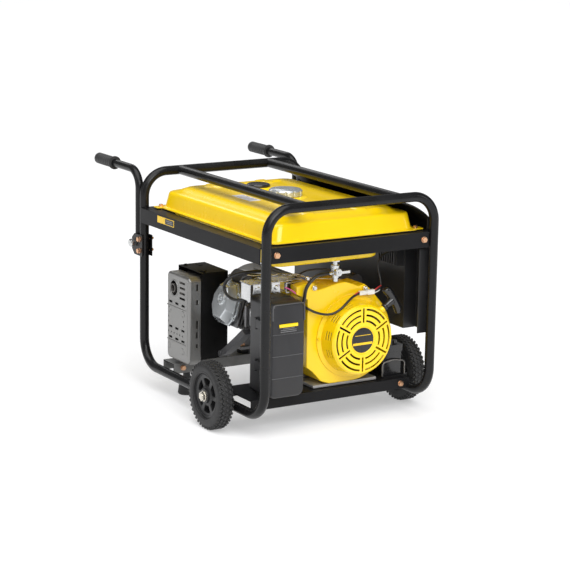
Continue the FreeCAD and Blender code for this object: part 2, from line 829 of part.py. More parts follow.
arc_start = round_crank(BLOWER_R, 38)
arc_middle = round_crank(BLOWER_R, -26)
arc_end = round_crank(BLOWER_R, -90)
left_points = [
    (0, 104), (-26, 114), (-52, 142), (-70, 156), (-70, 334), (-104, 352), (-104, 372), (-66, 379),
    (-50, 375), (-40, 357), (-16, 361), (12, 368), (44, 370), (68, 362), (84, 355), (104, 358),
    (124, 342),
]
corners = [V(x, 0, z) for x, z in left_points]
edges = [Part.Arc(arc_start, arc_middle, arc_end).toShape()]
last = arc_end
for corner in corners + [arc_start]:
    edges.append(Part.LineSegment(last, corner).toShape())
    last = corner
blower_outline = Part.Wire(edges)
blower = Part.Face(blower_outline).extrude(V(0, BLOWER_FAR - BLOWER_NEAR, 0))
blower_inside = Part.Face(blower_outline.makeOffset2D(-2.5)).extrude(V(0, BLOWER_FAR - BLOWER_NEAR, 0))
front_edges = [edge for edge in blower.Edges if edge.BoundBox.YMax < 0.01]
blower = blower.makeFillet(2.4, front_edges)
blower.translate(V(0, BLOWER_NEAR, 0))
blower_inside.translate(V(0, BLOWER_NEAR + 2.5, 0))
blower = blower.cut(blower_inside)
blower = blower.cut(along_y(BLOWER_NEAR - 5, BLOWER_NEAR + 5, 95))
lug = rod((-52, BLOWER_NEAR - 3, 364), (-52, BLOWER_NEAR + 2, 364), 8)
lug_right = rod((104, BLOWER_NEAR - 3, 347), (104, BLOWER_NEAR + 2, 347), 8)
blower = join([blower, lug, lug_right])


# Recoil cover: a slotted cup bolted to the blower housing.
def cover_profile(inset):
    return [
        (0, COVER_FRONT + inset),
        (87 - inset, COVER_FRONT + inset),
        (92 - inset, COVER_FRONT + 6),
        (97 - inset, BLOWER_NEAR - 6),
    ]


cover_flange = [(108, BLOWER_NEAR - 3.5), (108, BLOWER_NEAR), (0, BLOWER_NEAR)]
cover_outside = cover_profile(0) + cover_flange
cover_inside = cover_profile(2.4) + [(94.6, BLOWER_NEAR + 1), (0, BLOWER_NEAR + 1)]
centre = (CRANK_X, 0, CRANK_Z)
recoil_cover = turned(cover_outside, centre, "Y").cut(turned(cover_inside, centre, "Y"))
recoil_post = join([
    along_y(COVER_FRONT + 1, -240, 10),
    along_y(-240, -237, 13),
])
pull = V(math.cos(math.radians(PULL_ANGLE)), 0, math.sin(math.radians(PULL_ANGLE)))
across = V(-pull.z, 0, pull.x)
guide_boss = Part.makeCylinder(9, 22, GUIDE - pull * 20, pull)
recoil_cover = join([recoil_cover, recoil_post, guide_boss])
recoil_cover = recoil_cover.cut(Part.makeCylinder(3.2, 60, GUIDE - pull * 40, pull))


def arc_slot(radius, width, start, end, y_low, y_high):
    """Curved slot through the cover's front, centred on the crank."""
    ring = along_y(y_low, y_high, radius + width / 2).cut(along_y(y_low, y_high, radius - width / 2))
    wedge = []
    steps = 4
    wedge.append((CRANK_X, CRANK_Z))
    for i in range(steps + 1):
        angle = math.radians(start + (end - start) * i / steps)
        wedge.append((CRANK_X + 160 * math.cos(angle), CRANK_Z + 160 * math.sin(angle)))
    return ring.common(prism(wedge, "XZ", y_low, y_high - y_low))


slots = []
for sector in range(6):
    middle = 60 * sector
    slots.append(arc_slot(50, 5, middle - 21, middle + 21, COVER_FRONT - 1, COVER_FRONT + 4))
    slots.append(arc_slot(65, 5, middle - 23, middle + 23, COVER_FRONT - 1, COVER_FRONT + 4))
    slots.append(arc_slot(80, 5, middle - 24, middle + 24, COVER_FRONT - 1, COVER_FRONT + 4))
    radial = block(
        (CRANK_X + 46, COVER_FRONT - 1, CRANK_Z - 2.5),
        (CRANK_X + 84, COVER_FRONT + 4, CRANK_Z + 2.5),
    )
    slots.append(spin(radial, (CRANK_X, 0, CRANK_Z), Y_AXIS, 60 * sector + 30))
for vent_angle in range(80, 351, 30):
    # Vents come in threes round the side, but not where the rope comes out.
    for depth in (12.0, 21.0, 30.0):
        low_y = COVER_FRONT + depth
        slots.append(arc_slot(87, 34, vent_angle - 7, vent_angle + 7, low_y, low_y + 4.5))
recoil_cover = recoil_cover.cut(slots)

cover_bolts = [
    hexagon(round_crank(103, angle, BLOWER_NEAR - 3.5), (0, -1, 0), 8, 4)
    for angle in (58, 178, 298)
]

starter_pulley = turned(
    [
        (10 + RUN_GAP, -271), (40, -271), (40, -268), (35, -266), (35, -258),
        (40, -256), (40, -253), (28, -252), (28, -241), (10 + RUN_GAP, -241),
    ],
    centre,
    "Y",
)
rope = Part.makeCylinder(2.5, 92, GUIDE - pull * 58, pull)
grip_centre = GUIDE + pull * 40
bar = Part.makeCylinder(8, 66, grip_centre - across * 33, across)
bar_ends = [Part.makeSphere(8, grip_centre + across * end) for end in (-33, 33)]
stem = Part.makeCone(6, 10, 32, GUIDE + pull * 4, pull)
recoil_grip = join([bar, stem, rope] + bar_ends)

# Crank train: flywheel with fan blades, shaft with its webs, and the rotor.
shaft = join([
    along_y(-214, 112, SHAFT_R),
    along_y(112, 286, 12),
    along_y(-60, -44, 46),
    along_y(4, 20, 46),
    along_y(118, 226, 70),
])
fan_blade = block((CRANK_X + 58, -216, CRANK_Z - 1.5), (CRANK_X + 92, -199, CRANK_Z + 1.5))
fan_blades = [spin(fan_blade, centre, Y_AXIS, 30 * i) for i in range(12)]
flywheel = join([along_y(-200, -172, 92), along_y(-206, -200, 60)] + fan_blades)
flywheel = flywheel.cut(along_y(-220, -160, SHAFT_R))
shaft_nut = hexagon((CRANK_X, -214, CRANK_Z), (0, -1, 0), 32, 14)
shaft = join([shaft, shaft_nut])

# Alternator behind the engine, on the far cross member.
alternator = turned(
    [
        (SHAFT_R + 4, 80), (88, 80), (92, 92), (STATOR_R, 104), (STATOR_R, 232),
        (72, 232), (72, 112), (84, 104), (78, 86), (SHAFT_R + 4, 86),
    ],
    centre,
    "Y",
)
stator_fin = block((CRANK_X + 94, 112, CRANK_Z - 2), (CRANK_X + 101, 226, CRANK_Z + 2))
# No fins where the foot is.
stator_fins = [spin(stator_fin, centre, Y_AXIS, 15 * i) for i in range(24) if i not in (5, 6, 7)]
alternator_foot = prism(
    [(-26, 104), (158, 104), (158, 112), (132, 112), (104, 150), (28, 150), (0, 112), (-26, 112)],
    "XZ",
    178,
    36,
).cut(along_y(170, 222, STATOR_R - 1))
alternator = join([alternator, alternator_foot] + stator_fins)
end_cover = turned(
    [
        (12 + RUN_GAP, 262), (22, 262), (22, 286), (84, 286), (88, 276), (90, 232),
        (STATOR_R, 232), (STATOR_R, 284), (88, ALTERNATOR_END), (0, ALTERNATOR_END),
        (0, 290), (12 + RUN_GAP, 290),
    ],
    centre,
    "Y",
)
for ring in range(3):
    for i in range(12):
        vent = block(
            (CRANK_X + 34 + 18 * ring, 280, CRANK_Z - 3), (CRANK_X + 46 + 18 * ring, 300, CRANK_Z + 3)
        )
        end_cover = end_cover.cut(spin(vent, centre, Y_AXIS, 30 * i + 15 * ring))
for i in range(4):
    angle = 45 + 90 * i
    through_bolt = rod(round_crank(91, angle, 250), round_crank(91, angle, ALTERNATOR_END - 4), 6)
    end_cover = join([end_cover, through_bolt])

starter_motor = largest(join([
    rod((152, -142, 296), (152, -30, 296), 36),
    rod((152, -30, 296), (152, -22, 296), 30),
    rod((152, -120, 340), (152, -50, 340), 18),
    block((122, -138, 270), (150, -120, 300)),
]).cut(crankcase))

# Carburettor between the cylinder head and the air filter.
carb_x = -132.0
carb_z = 268.0
carburettor = join([
    rod((carb_x, FILTER_Y[1], carb_z), (carb_x, CYLINDER_Y - 66, carb_z), 20),
    soft_block((carb_x - 26, -134, carb_z - 24), (carb_x + 24, -84, carb_z + 26), 5),
    rod((carb_x, -109, carb_z - 62), (carb_x, -109, carb_z - 20), 21),
    rod((carb_x, -109, carb_z - 68), (carb_x, -109, carb_z - 60), 7),
    block((carb_x - 30, -78, carb_z - 28), (carb_x + 30, -70, carb_z + 28)),
    rod((carb_x + 20, INLET.y + 18, INLET.z), (INLET.x, INLET.y + 18, INLET.z), 4),
    rod((INLET.x, INLET.y, INLET.z), (INLET.x, INLET.y + 18, INLET.z), 4),
]).cut([cylinder, cylinder_shroud])
choke_post = rod((carb_x - 34, -109, carb_z + 14), (carb_x - 20, -109, carb_z + 14), 4)
carburettor = join([carburettor, choke_post])
choke_lever = join([
    pipe(
        (carb_x - 32, -109, carb_z + 14), (carb_x - 29, -109, carb_z + 14), 9, 4 + RUN_GAP
    ),
    block((carb_x - 32, -113, carb_z + 22), (carb_x - 29, -105, carb_z + 56)),
    rod((carb_x - 42, -109, carb_z + 52), (carb_x - 29, -109, carb_z + 52), 6),
])

bracket_low = 332.0
governor_bracket = join([
    block((-100, -144, bracket_low), (-22, -98, bracket_low + 2.5)),
    block((-100, -100.5, bracket_low), (-22, -98, bracket_low + 26)),
    block((-24.5, -144, bracket_low), (-22, -98, bracket_low + 30)),
    block((-100, -144, bracket_low - 3), (-60, -141, bracket_low + 22)),
    rod((-88, -121, bracket_low), (-88, -121, bracket_low + 34), 4),
    rod((-40, -121, bracket_low), (-40, -121, bracket_low + 24), 5),
    rod((-88, -121, bracket_low + 30), (-26, -121, bracket_low + 20), 2),
]).cut([cylinder_shroud, crankcase])
governor_bracket = governor_bracket.cut(rod((-62, -110, bracket_low + 14), (-62, -90, bracket_low + 14), 7))


# ----------------------------------------------------------------- air filter

def filter_half(y_low, y_high, open_side):
    """One half of the filter box: a rounded case open towards the other half."""
    low = (FILTER_X[0], y_low, FILTER_Z[0])
    high = (FILTER_X[1], y_high, FILTER_Z[1])
    outside = rounded(low, high, 12, Y_AXIS)
    closed_y = y_low if open_side > 0 else y_high
    rim_edges = []
    for edge in outside.Edges:
        box = edge.BoundBox
        if abs(box.YMin - closed_y) < 0.01 and abs(box.YMax - closed_y) < 0.01:
            rim_edges.append(edge)
    outside = outside.makeFillet(7, rim_edges)
    inside = rounded(
        (FILTER_X[0] + 2.5, y_low + (2.5 if open_side > 0 else -5), FILTER_Z[0] + 2.5),
        (FILTER_X[1] - 2.5, y_high + (5 if open_side > 0 else -2.5), FILTER_Z[1] - 2.5),
        10,
        Y_AXIS,
    )
    return outside.cut(inside)


filter_base = filter_half(FILTER_SPLIT, FILTER_Y[1], -1)
intake = rod((carb_x, FILTER_Y[1] - 5, carb_z), (carb_x, FILTER_Y[1] + 5, carb_z), 17)
filter_base = filter_base.cut(intake)
filter_cover = filter_half(FILTER_Y[0] + 4, FILTER_SPLIT - 0.6, 1)
flange_outside = rounded(
    (FILTER_X[0] - 3, FILTER_SPLIT - 6, FILTER_Z[0] - 0.5),
    (FILTER_X[1] + 3, FILTER_SPLIT - 0.6, FILTER_Z[1] + 3),
    14,
    Y_AXIS,
)
flange_inside = rounded(
    (FILTER_X[0] + 1, FILTER_SPLIT - 8, FILTER_Z[0] + 1),
    (FILTER_X[1] - 1, FILTER_SPLIT + 2, FILTER_Z[1] - 1),
    11,
    Y_AXIS,
)
flange_ring = flange_outside.cut(flange_inside)
panels = []
for low_z, high_z in ((108, 158), (164, 213), (219, 268), (274, 344)):
    low = (FILTER_X[0] + 6, FILTER_Y[0], low_z)
    high = (FILTER_X[1] - 6, FILTER_Y[0] + 6, high_z)
    panels.append(rounded(low, high, 6, Y_AXIS))
filter_cover = join([filter_cover, flange_ring] + panels)

LATCH_LEVELS = {"upper": 288.0, "lower": 180.0}
filter_ears = []
latches = {}
for side_name, wall, side in (("left", FILTER_X[0], -1), ("right", FILTER_X[1], 1)):
    for level_name, z in LATCH_LEVELS.items():
        pivot_x = wall + side * 5.0
        pivot_y = FILTER_SPLIT + 12.0
        for ear_z in (z - 15, z + 12):
            ear = block(
                (min(wall - side * 2, wall + side * 8), pivot_y - 4, ear_z),
                (max(wall - side * 2, wall + side * 8), pivot_y + 4, ear_z + 3),
            )
            filter_ears.append(ear)
        filter_ears.append(rod((pivot_x, pivot_y, z - 15), (pivot_x, pivot_y, z + 15), 1.5))
        barrel = rod((pivot_x, pivot_y, z - 11.6), (pivot_x, pivot_y, z + 11.6), 3)
        strap = block(
            (min(pivot_x + side * 0.5, pivot_x + side * 2.5), FILTER_SPLIT - 20, z - 11),
            (max(pivot_x + side * 0.5, pivot_x + side * 2.5), pivot_y, z + 11),
        )
        hook = block(
            (min(wall + side * 1, pivot_x + side * 2.5), FILTER_SPLIT - 20, z - 11),
            (max(wall + side * 1, pivot_x + side * 2.5), FILTER_SPLIT - 18, z + 11),
        )
        latch = join([barrel, strap, hook])
        latch = latch.cut(rod((pivot_x, pivot_y, z - 14), (pivot_x, pivot_y, z + 14), 1.5 + RUN_GAP))
        latches["latch_" + side_name + "_" + level_name] = latch
filter_base = join([filter_base] + filter_ears)


# -------------------------------------------------------------------- muffler

port_x = -146.0
port_z = 284.0
outlet_y = 171.0
outlet_z = 304.0
muffler = soft_block((-229, 93, 116), (-131, 204, 336), 14)
muffler = muffler.cut(soft_block((-227, 95, 118), (-133, 202, 334), 12))
band = soft_block((-182, 90, 113), (-176, 207, 339), 2.9)
inlet = rod((port_x, CYLINDER_Y + 50, port_z), (port_x, 100, port_z), 13)
outlet = rod((-244, outlet_y, outlet_z), (-220, outlet_y, outlet_z), 12)
spacers = [
    rod((-238.4, y, z), (-226, y, z), 4)
    for y in (104.0, 192.0)
    for z in (150.0, 232.0)
]
muffler = join([muffler, band, inlet, outlet] + spacers)
muffler = muffler.cut(rod((-250, outlet_y, outlet_z), (-215, outlet_y, outlet_z), 10))
muffler = muffler.cut([cylinder, cylinder_shroud])

guard = rounded(
    (GUARD_X[0], MUFFLER_Y[0], MUFFLER_Z[0]),
    (GUARD_X[1], MUFFLER_Y[1], MUFFLER_Z[1]),
    14,
    X_AXIS,
)
guard_front = [edge for edge in guard.Edges if edge.BoundBox.XMax < GUARD_X[0] + 0.01]
guard = guard.makeFillet(7, guard_front)
guard_inside = rounded(
    (GUARD_X[0] + 1.6, MUFFLER_Y[0] + 1.6, MUFFLER_Z[0] + 1.6),
    (GUARD_X[1] + 5, MUFFLER_Y[1] - 1.6, MUFFLER_Z[1] - 1.6),
    12.4,
    X_AXIS,
)
guard_inside = guard_inside.makeFillet(
    5.4, [edge for edge in guard_inside.Edges if edge.BoundBox.XMax < GUARD_X[0] + 1.7]
)
guard = guard.cut(guard_inside)
openings = [rod((-250, outlet_y, outlet_z), (-235, outlet_y, outlet_z), 20)]
for i in range(4):
    z = 279 + 14.3 * i
    openings.append(block((-250, 111, z), (-235, 141, z + 6)))
for row_z in (260.5, 192.0, 163.0):
    for y in (112.0, 146.5, 181.0):
        openings.append(block((-250, y, row_z), (-235, y + 18, row_z + 6)))
small_holes = [(118.0, 208.0), (118.0, 221.0), (203.0, 208.0), (203.0, 221.0)]
small_holes += [(123.0 + 15.8 * i, 180.0) for i in range(6)]
for y, z in small_holes:
    openings.append(rod((-250, y, z), (-235, y, z), 2.6))
for low_z, high_z in ((309, 327), (271.5, 285), (206, 228), (180, 197), (153, 165)):
    for y in (MUFFLER_Y[0] - 5, MUFFLER_Y[1] - 5):
        openings.append(block((-220, y, low_z), (-213, y + 10, high_z)))
muffler_guard = guard.cut(openings)

shield_outer = block((SHIELD_X[0] - 1, 84, 120), (SHIELD_X[1] + 1, 213, 356))
shield_inner = block((SHIELD_X[0] - 2, 85.5, 119), (SHIELD_X[1] - 0.5, 211.5, 354.5))
heat_shield = shield_outer.cut(shield_inner)
heat_shield = heat_shield.cut(rod((port_x, 70, port_z), (port_x, 95, port_z), 15))


# ------------------------------------------------------ battery and its leads

tray = rounded((176, -222, CROSS_TOP), (244, -95, CROSS_TOP + 3), 5, Z_AXIS)
battery = join([
    rounded((180, -212, CROSS_TOP + 3), (240, -100, CROSS_TOP + 80), 4, Z_AXIS),
    rounded((178, -214, CROSS_TOP + 66), (242, -98, CROSS_TOP + 84), 4, Z_AXIS),
    rod((196, -200, CROSS_TOP + 84), (196, -200, CROSS_TOP + 94), 6),
    rod((224, -200, CROSS_TOP + 84), (224, -200, CROSS_TOP + 94), 6),
])
STRAP_R = 2.0
strap_points = [
    V(174.5, -217.5, CROSS_TOP + 3),
    V(174.5, -217.5, CROSS_TOP + 40),
    V(210.0, -218.5, CROSS_TOP + 46),
    V(245.5, -217.5, CROSS_TOP + 40),
    V(245.5, -217.5, CROSS_TOP + 3),
]
battery_strap = sweep(bent_path(strap_points, [12, 40, 12]), STRAP_R)

LEAD_JOINT_X = (78.0, 124.0)
main_lead = cord(
    "engine lead",
    [
        V(-78, -150, 318),
        V(-78, -200, 321),
        V(-77, -240, 314),
        V(-48, -246, 299),
        V(-14, -252, 293),
        V(11, -260, 306),
        V(36, -257, 325),
        V(57, -249, 335),
        V(LEAD_JOINT_X[0], -242.5, 339),
    ],
    3.2,
)
panel_lead = cord(
    "panel lead",
    [
        V(LEAD_JOINT_X[1], -242.5, 339),
        V(146, -243, 343),
        V(152, -232, 366),
        V(148, -222, 392),
        V(156, -216, 418),
        V(176, -214, 430),
        V(199, -213.5, 434),
    ],
    2.5,
)
connector = rounded((LEAD_JOINT_X[0], -248, 333), (LEAD_JOINT_X[1], -237, 345), 2, X_AXIS)


# -------------------------------------------------------------- control panel

corner_centre = (PANEL_X - HOOD_CORNER_R, HOOD_CORNER_Z)
turn = math.radians(HOOD_TURN)
top_centre = (
    corner_centre[0] - (HOOD_TOP_R - HOOD_CORNER_R) * math.cos(turn),
    corner_centre[1] - (HOOD_TOP_R - HOOD_CORNER_R) * math.sin(turn),
)


def hood_point(depth, angle, y):
    """Point on the hood's section, a depth under its outside, at an angle in degrees."""
    angle = math.radians(angle)
    if angle > turn:
        middle, radius = top_centre, HOOD_TOP_R - depth
    else:
        middle, radius = corner_centre, HOOD_CORNER_R - depth
    return V(middle[0] + radius * math.cos(angle), y, middle[1] + radius * math.sin(angle))


def hood_sheet(outer_depth, inner_depth, y_end, bottom):
    """Bent sheet: down the panel's front, round its corner and over the tank's edge."""
    def side(depth):
        return [
            V(PANEL_X - depth, -y_end, bottom),
            hood_point(depth, 0, -y_end),
            hood_point(depth, HOOD_TURN / 2, -y_end),
            hood_point(depth, HOOD_TURN, -y_end),
            hood_point(depth, (HOOD_TURN + HOOD_END) / 2, -y_end),
            hood_point(depth, HOOD_END, -y_end),
        ]
    outer = side(outer_depth)
    inner = side(inner_depth)
    edges = [
        Part.LineSegment(outer[0], outer[1]).toShape(),
        Part.Arc(outer[1], outer[2], outer[3]).toShape(),
        Part.Arc(outer[3], outer[4], outer[5]).toShape(),
        Part.LineSegment(outer[5], inner[5]).toShape(),
        Part.Arc(inner[5], inner[4], inner[3]).toShape(),
        Part.Arc(inner[3], inner[2], inner[1]).toShape(),
        Part.LineSegment(inner[1], inner[0]).toShape(),
        Part.LineSegment(inner[0], outer[0]).toShape(),
    ]
    return Part.Face(Part.Wire(edges)).extrude(V(0, 2 * y_end, 0))


panel_hood = hood_sheet(0, 1.5, PANEL_Y - 3, PANEL_BOTTOM + 3)
liner = hood_sheet(1.5, 3.5, PANEL_Y + 1.5, PANEL_BOTTOM)
back_box = block((PANEL_BACK, -240, PANEL_BOTTOM), (PANEL_X - 3.5, PANEL_Y - 1, 452))
back_room = block(
    (PANEL_BACK + 2.5, -237.5, PANEL_BOTTOM - 1), (PANEL_X - 3.5, PANEL_Y - 3.5, 449.5)
)
back_box = back_box.cut(back_room)
cheek_points = [
    (PANEL_BACK, PANEL_BOTTOM), (PANEL_X - 3, PANEL_BOTTOM), (PANEL_X - 3, HOOD_CORNER_Z),
    (258, 517), (249, 530), (243, 536), (243, 452), (PANEL_BACK, 452),
]
cheek = prism(cheek_points, "XZ", -PANEL_Y - 1.5, 2.5)
panel_box = join([liner, back_box, cheek, mirror_y(cheek)])
panel_box = panel_box.cut(block((215, -POST_Y, RAIL_TOP - RAIL_LEG), (260.05, POST_Y, RAIL_TOP)))
regulator = rounded((PANEL_BACK - 24, -236, 396), (PANEL_BACK, -150, 448), 5, X_AXIS)
regulator_ribs = [
    block((PANEL_BACK - 29, -230 + 10 * i, 400), (PANEL_BACK - 23, -227 + 10 * i, 444))
    for i in range(8)
]
panel_box = join([panel_box, regulator] + regulator_ribs)
panel_lead = largest(panel_lead.cut([panel_box, connector]))
main_lead = main_lead.cut(connector)

panel_plate = rounded((PANEL_X, -225, 242), (PLATE_FACE, 225, 436), 10, X_AXIS)


# Things on the panel's face: (y, z) places, as seen from the +X side.
SOCKETS = {"near": (-70.0, 300.0), "far": (20.0, 300.0)}
LID_HINGE_X = PLATE_FACE + 9.0
LID_HINGE_Z = 333.0
KEY_PLACE = (-165.0, 385.0)
BREAKER_PLACE = (120.0, 370.0)
fittings = []
lids = {}
for name, (y, z) in SOCKETS.items():
    body = join([
        rounded((PLATE_FACE, y - 34, z - 34), (PLATE_FACE + 4, y + 34, z + 36), 8, X_AXIS),
        pipe((PLATE_FACE, y, z), (PLATE_FACE + 10, y, z), 29, 23),
    ])
    for pin_y, pin_z in ((-10, 0), (10, 0), (0, 12)):
        place = (y + pin_y, z + pin_z)
        body = body.cut(rod((PLATE_FACE + 1, *place), (PLATE_FACE + 12, *place), 3))
    knuckles = [
        block(
            (PLATE_FACE + 3, y + start, LID_HINGE_Z - 2.5),
            (PLATE_FACE + 12, y + start + 6, LID_HINGE_Z + 2.5),
        )
        for start in (-22, 16)
    ]
    hinge_pin = rod((LID_HINGE_X, y - 22, LID_HINGE_Z), (LID_HINGE_X, y + 22, LID_HINGE_Z), 1.5)
    fittings.append(join([body, hinge_pin] + knuckles))
    lid_back = PLATE_FACE + 10.4
    barrel = rod((LID_HINGE_X, y - 15.6, LID_HINGE_Z), (LID_HINGE_X, y + 15.6, LID_HINGE_Z), 3.2)
    lid = join([
        barrel,
        rod((lid_back, y, z), (PLATE_FACE + 14, y, z), 31),
        block((lid_back, y - 12, z + 20), (PLATE_FACE + 13, y + 12, LID_HINGE_Z + 1)),
        block((LID_HINGE_X, y - 12, LID_HINGE_Z - 3), (PLATE_FACE + 14, y + 12, LID_HINGE_Z + 3)),
        block((lid_back, y - 8, z - 37), (PLATE_FACE + 14, y + 8, z - 24)),
    ])
    hinge_hole = rod((LID_HINGE_X, y - 30, LID_HINGE_Z), (LID_HINGE_X, y + 30, LID_HINGE_Z), 1.55)
    lids["socket_lid_" + name] = lid.cut(hinge_hole)

for y in (-60.0, 20.0):
    frame_piece = rounded((PLATE_FACE, y - 26, 366), (PLATE_FACE + 5, y + 26, 418), 5, X_AXIS)
    window = rounded((PLATE_FACE + 3.5, y - 21, 371), (PLATE_FACE + 6, y + 21, 413), 3, X_AXIS)
    fittings.append(frame_piece.cut(window))
breaker = rounded(
    (PLATE_FACE, BREAKER_PLACE[0] - 22, BREAKER_PLACE[1] - 32),
    (PLATE_FACE + 8, BREAKER_PLACE[0] + 22, BREAKER_PLACE[1] + 32),
    4,
    X_AXIS,
)
breaker = breaker.cut(block(
    (PLATE_FACE + 2, BREAKER_PLACE[0] - 9.5, BREAKER_PLACE[1] - 15),
    (PLATE_FACE + 9, BREAKER_PLACE[0] + 9.5, BREAKER_PLACE[1] + 15),
))
breaker = join([breaker, rod(
    (PLATE_FACE + 5, BREAKER_PLACE[0] - 10, BREAKER_PLACE[1]),
    (PLATE_FACE + 5, BREAKER_PLACE[0] + 10, BREAKER_PLACE[1]),
    1.5,
)])
fittings.append(breaker)
rocker = join([
    rod(
        (PLATE_FACE + 5, BREAKER_PLACE[0] - 9, BREAKER_PLACE[1]),
        (PLATE_FACE + 5, BREAKER_PLACE[0] + 9, BREAKER_PLACE[1]),
        2.7,
    ),
    block(
        (PLATE_FACE + 5, BREAKER_PLACE[0] - 8, BREAKER_PLACE[1] - 2.5),
        (PLATE_FACE + 17, BREAKER_PLACE[0] + 8, BREAKER_PLACE[1] + 2.5),
    ),
])
rocker = rocker.cut(rod(
    (PLATE_FACE + 5, BREAKER_PLACE[0] - 12, BREAKER_PLACE[1]),
    (PLATE_FACE + 5, BREAKER_PLACE[0] + 12, BREAKER_PLACE[1]),
    1.55,
))
breaker_switch = spin(rocker, (PLATE_FACE + 5, BREAKER_PLACE[0], BREAKER_PLACE[1]), Y_AXIS, 28)

key_barrel = pipe((PLATE_FACE, *KEY_PLACE), (PLATE_FACE + 6, *KEY_PLACE), 15, 7.5)
fittings.append(key_barrel)
ignition_key = join([
    rod((PLATE_FACE + 0.3, *KEY_PLACE), (PLATE_FACE + 6.5, *KEY_PLACE), 7.4),
    block(
        (PLATE_FACE + 6.5, KEY_PLACE[0] - 1.2, KEY_PLACE[1] - 4),
        (PLATE_FACE + 16, KEY_PLACE[0] + 1.2, KEY_PLACE[1] + 4),
    ),
    rounded(
        (PLATE_FACE + 14, KEY_PLACE[0] - 2.5, KEY_PLACE[1] - 13),
        (PLATE_FACE + 38, KEY_PLACE[0] + 2.5, KEY_PLACE[1] + 13),
        6,
        Y_AXIS,
    ),
])
for y, z in ((120.0, 282.0), (150.0, 282.0), (180.0, 282.0)):
    fittings.append(join([
        rod((PLATE_FACE, y, z), (PLATE_FACE + 4, y, z), 9),
        rod((PLATE_FACE + 4, y, z), (PLATE_FACE + 16, y, z), 3),
        hexagon((PLATE_FACE + 5, y, z), (1, 0, 0), 12, 6),
    ]))
plate_screws = [
    rod((PLATE_FACE, y, z), (PLATE_FACE + 2, y, z), 4.5)
    for y in (-210.0, 210.0)
    for z in (256.0, 422.0)
]


# --------------------------------------------------------------------- bolts

frame_bolts = []
for x_side in (-1, 1):
    for y_side in (-1, 1):
        rail_end = (x_side * RAIL_BOLT_X, y_side * POST_Y, RAIL_BOLT_Z)
        frame_bolts.append(bolt(rail_end, (0, y_side, 0), 9, 13, 5))
    for y in (CROSS_NEAR[0], CROSS_FAR[0]):
        frame_bolts.append(bolt((x_side * 215.0, y, 81.0), (0, -1, 0), 6, 12, 5))
for x, y in MOUNT_POINTS[:2]:
    frame_bolts.append(bolt((x, y, 113.0), (0, 0, 1), 26, 12, 5))
for x, y in MOUNT_POINTS[2:]:
    frame_bolts.append(bolt((x, y, 112.0), (0, 0, 1), 25, 12, 5))

shanks = frame_bolts + handle_bolts
end_rails = group([near_rail, far_rail]).cut(shanks)
tabs = [tab.cut(shanks) for tab in tabs]
cross_near = join([cross_near.cut(shanks + feet), tray])
cross_far = cross_far.cut(shanks + feet)
mounts = [mount.cut(shanks) for mount in mounts]
crankcase = crankcase.cut(shanks)
alternator = alternator.cut(shanks)
side_rails = group([left_rail, right_rail]).cut(tank_bolts)
end_rails = end_rails.cut(tank_bolts)
hoop_far = hoop_far.cut(handle_bolts)
cheeks = [cheek.cut(handle_bolts) for cheek in handle_brackets]
axle_brackets = [bracket.cut(axles) for bracket in axle_brackets]
fuel_hose = fuel_hose.cut(fuel_valve).cut(carburettor)


# ------------------------------------------------------------------- the nodes

keep("frame_hoop_near", hoop_near)
keep("frame_hoop_far", hoop_far)
keep("frame_straight_tubes", group(straight_tubes))
keep("tank_rails", group([side_rails, end_rails] + tabs))
keep("cross_members", group([cross_near, cross_far]))
keep("rubber_mounts", group(mounts + feet + grommets))
keep("frame_brackets", group(axle_brackets + cheeks))
keep("stub_axles", group(axles))
keep("frame_bolts", group(frame_bolts + handle_bolts + tank_bolts))
keep("handle_pivots", group(handle_pivots))
keep("fuel_tank", tank)
keep("fuel_gauge", gauge)
keep("fuel_valve", fuel_valve)
keep("fuel_hose", fuel_hose)
keep("crankcase", crankcase)
keep("cylinder", cylinder)
keep("valve_cover", valve_cover)
keep("cylinder_shroud", cylinder_shroud)
keep("blower_housing", blower)
keep("recoil_cover", group([recoil_cover] + cover_bolts))
keep("carburettor", carburettor)
keep("governor_bracket", governor_bracket)
keep("air_filter_base", filter_base)
keep("air_filter_cover", filter_cover)
keep("muffler", muffler)
keep("muffler_guard", muffler_guard)
keep("heat_shield", heat_shield)
keep("starter_motor", starter_motor)
keep("alternator_housing", alternator)
keep("alternator_end_cover", end_cover)
keep("panel_hood", panel_hood)
keep("panel_box", panel_box)
keep("panel_plate", panel_plate)
keep("panel_fittings", group(fittings + plate_screws))
keep("battery", battery)
keep("battery_strap", battery_strap)
keep("wiring_leads", group([main_lead, panel_lead, connector]))
for side_name, side in (("left", -1), ("right", 1)):
    keep("wheel_" + side_name + "_tyre", tyre(side))
    keep("wheel_" + side_name + "_rim", rim(side))
    keep("handle_" + side_name, handle_tube(side))
    keep("grip_" + side_name, handle_grip(side))
keep("fuel_cap", fuel_cap)
keep("fuel_valve_lever", fuel_valve_lever)
keep("choke_lever", choke_lever)
keep("recoil_grip", recoil_grip)
keep("starter_pulley", starter_pulley)
keep("crankshaft", shaft)
keep("flywheel", flywheel)
for name, latch in latches.items():
    keep(name, latch)
for name, lid in lids.items():
    keep(name, lid)
keep("ignition_key", ignition_key)
keep("breaker_switch", breaker_switch)

box = Part.makeCompound(list(shapes.values())).optimalBoundingBox(False, False)
print("nodes", len(shapes))
print("box x", round(box.XMin, 2), round(box.XMax, 2))
print("box y", round(box.YMin, 2), round(box.YMax, 2))
print("box z", round(box.ZMin, 2), round(box.ZMax, 2))
print("box centre y", round((box.YMin + box.YMax) / 2, 2), "used", BOX_CENTRE_Y)
for name, shape in shapes.items():
    moved = shape.copy()
    moved.translate(V(0, -BOX_CENTRE_Y, 0))
    moved.exportStep("parts/" + name + ".step")
    volume = round(shape.Volume / 1000, 1)
    print(name, "solids", len(shape.Solids), "valid", shape.isValid(), "cm3", volume)
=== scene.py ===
import math
import bmesh
import bpy
from mathutils import Matrix, Vector


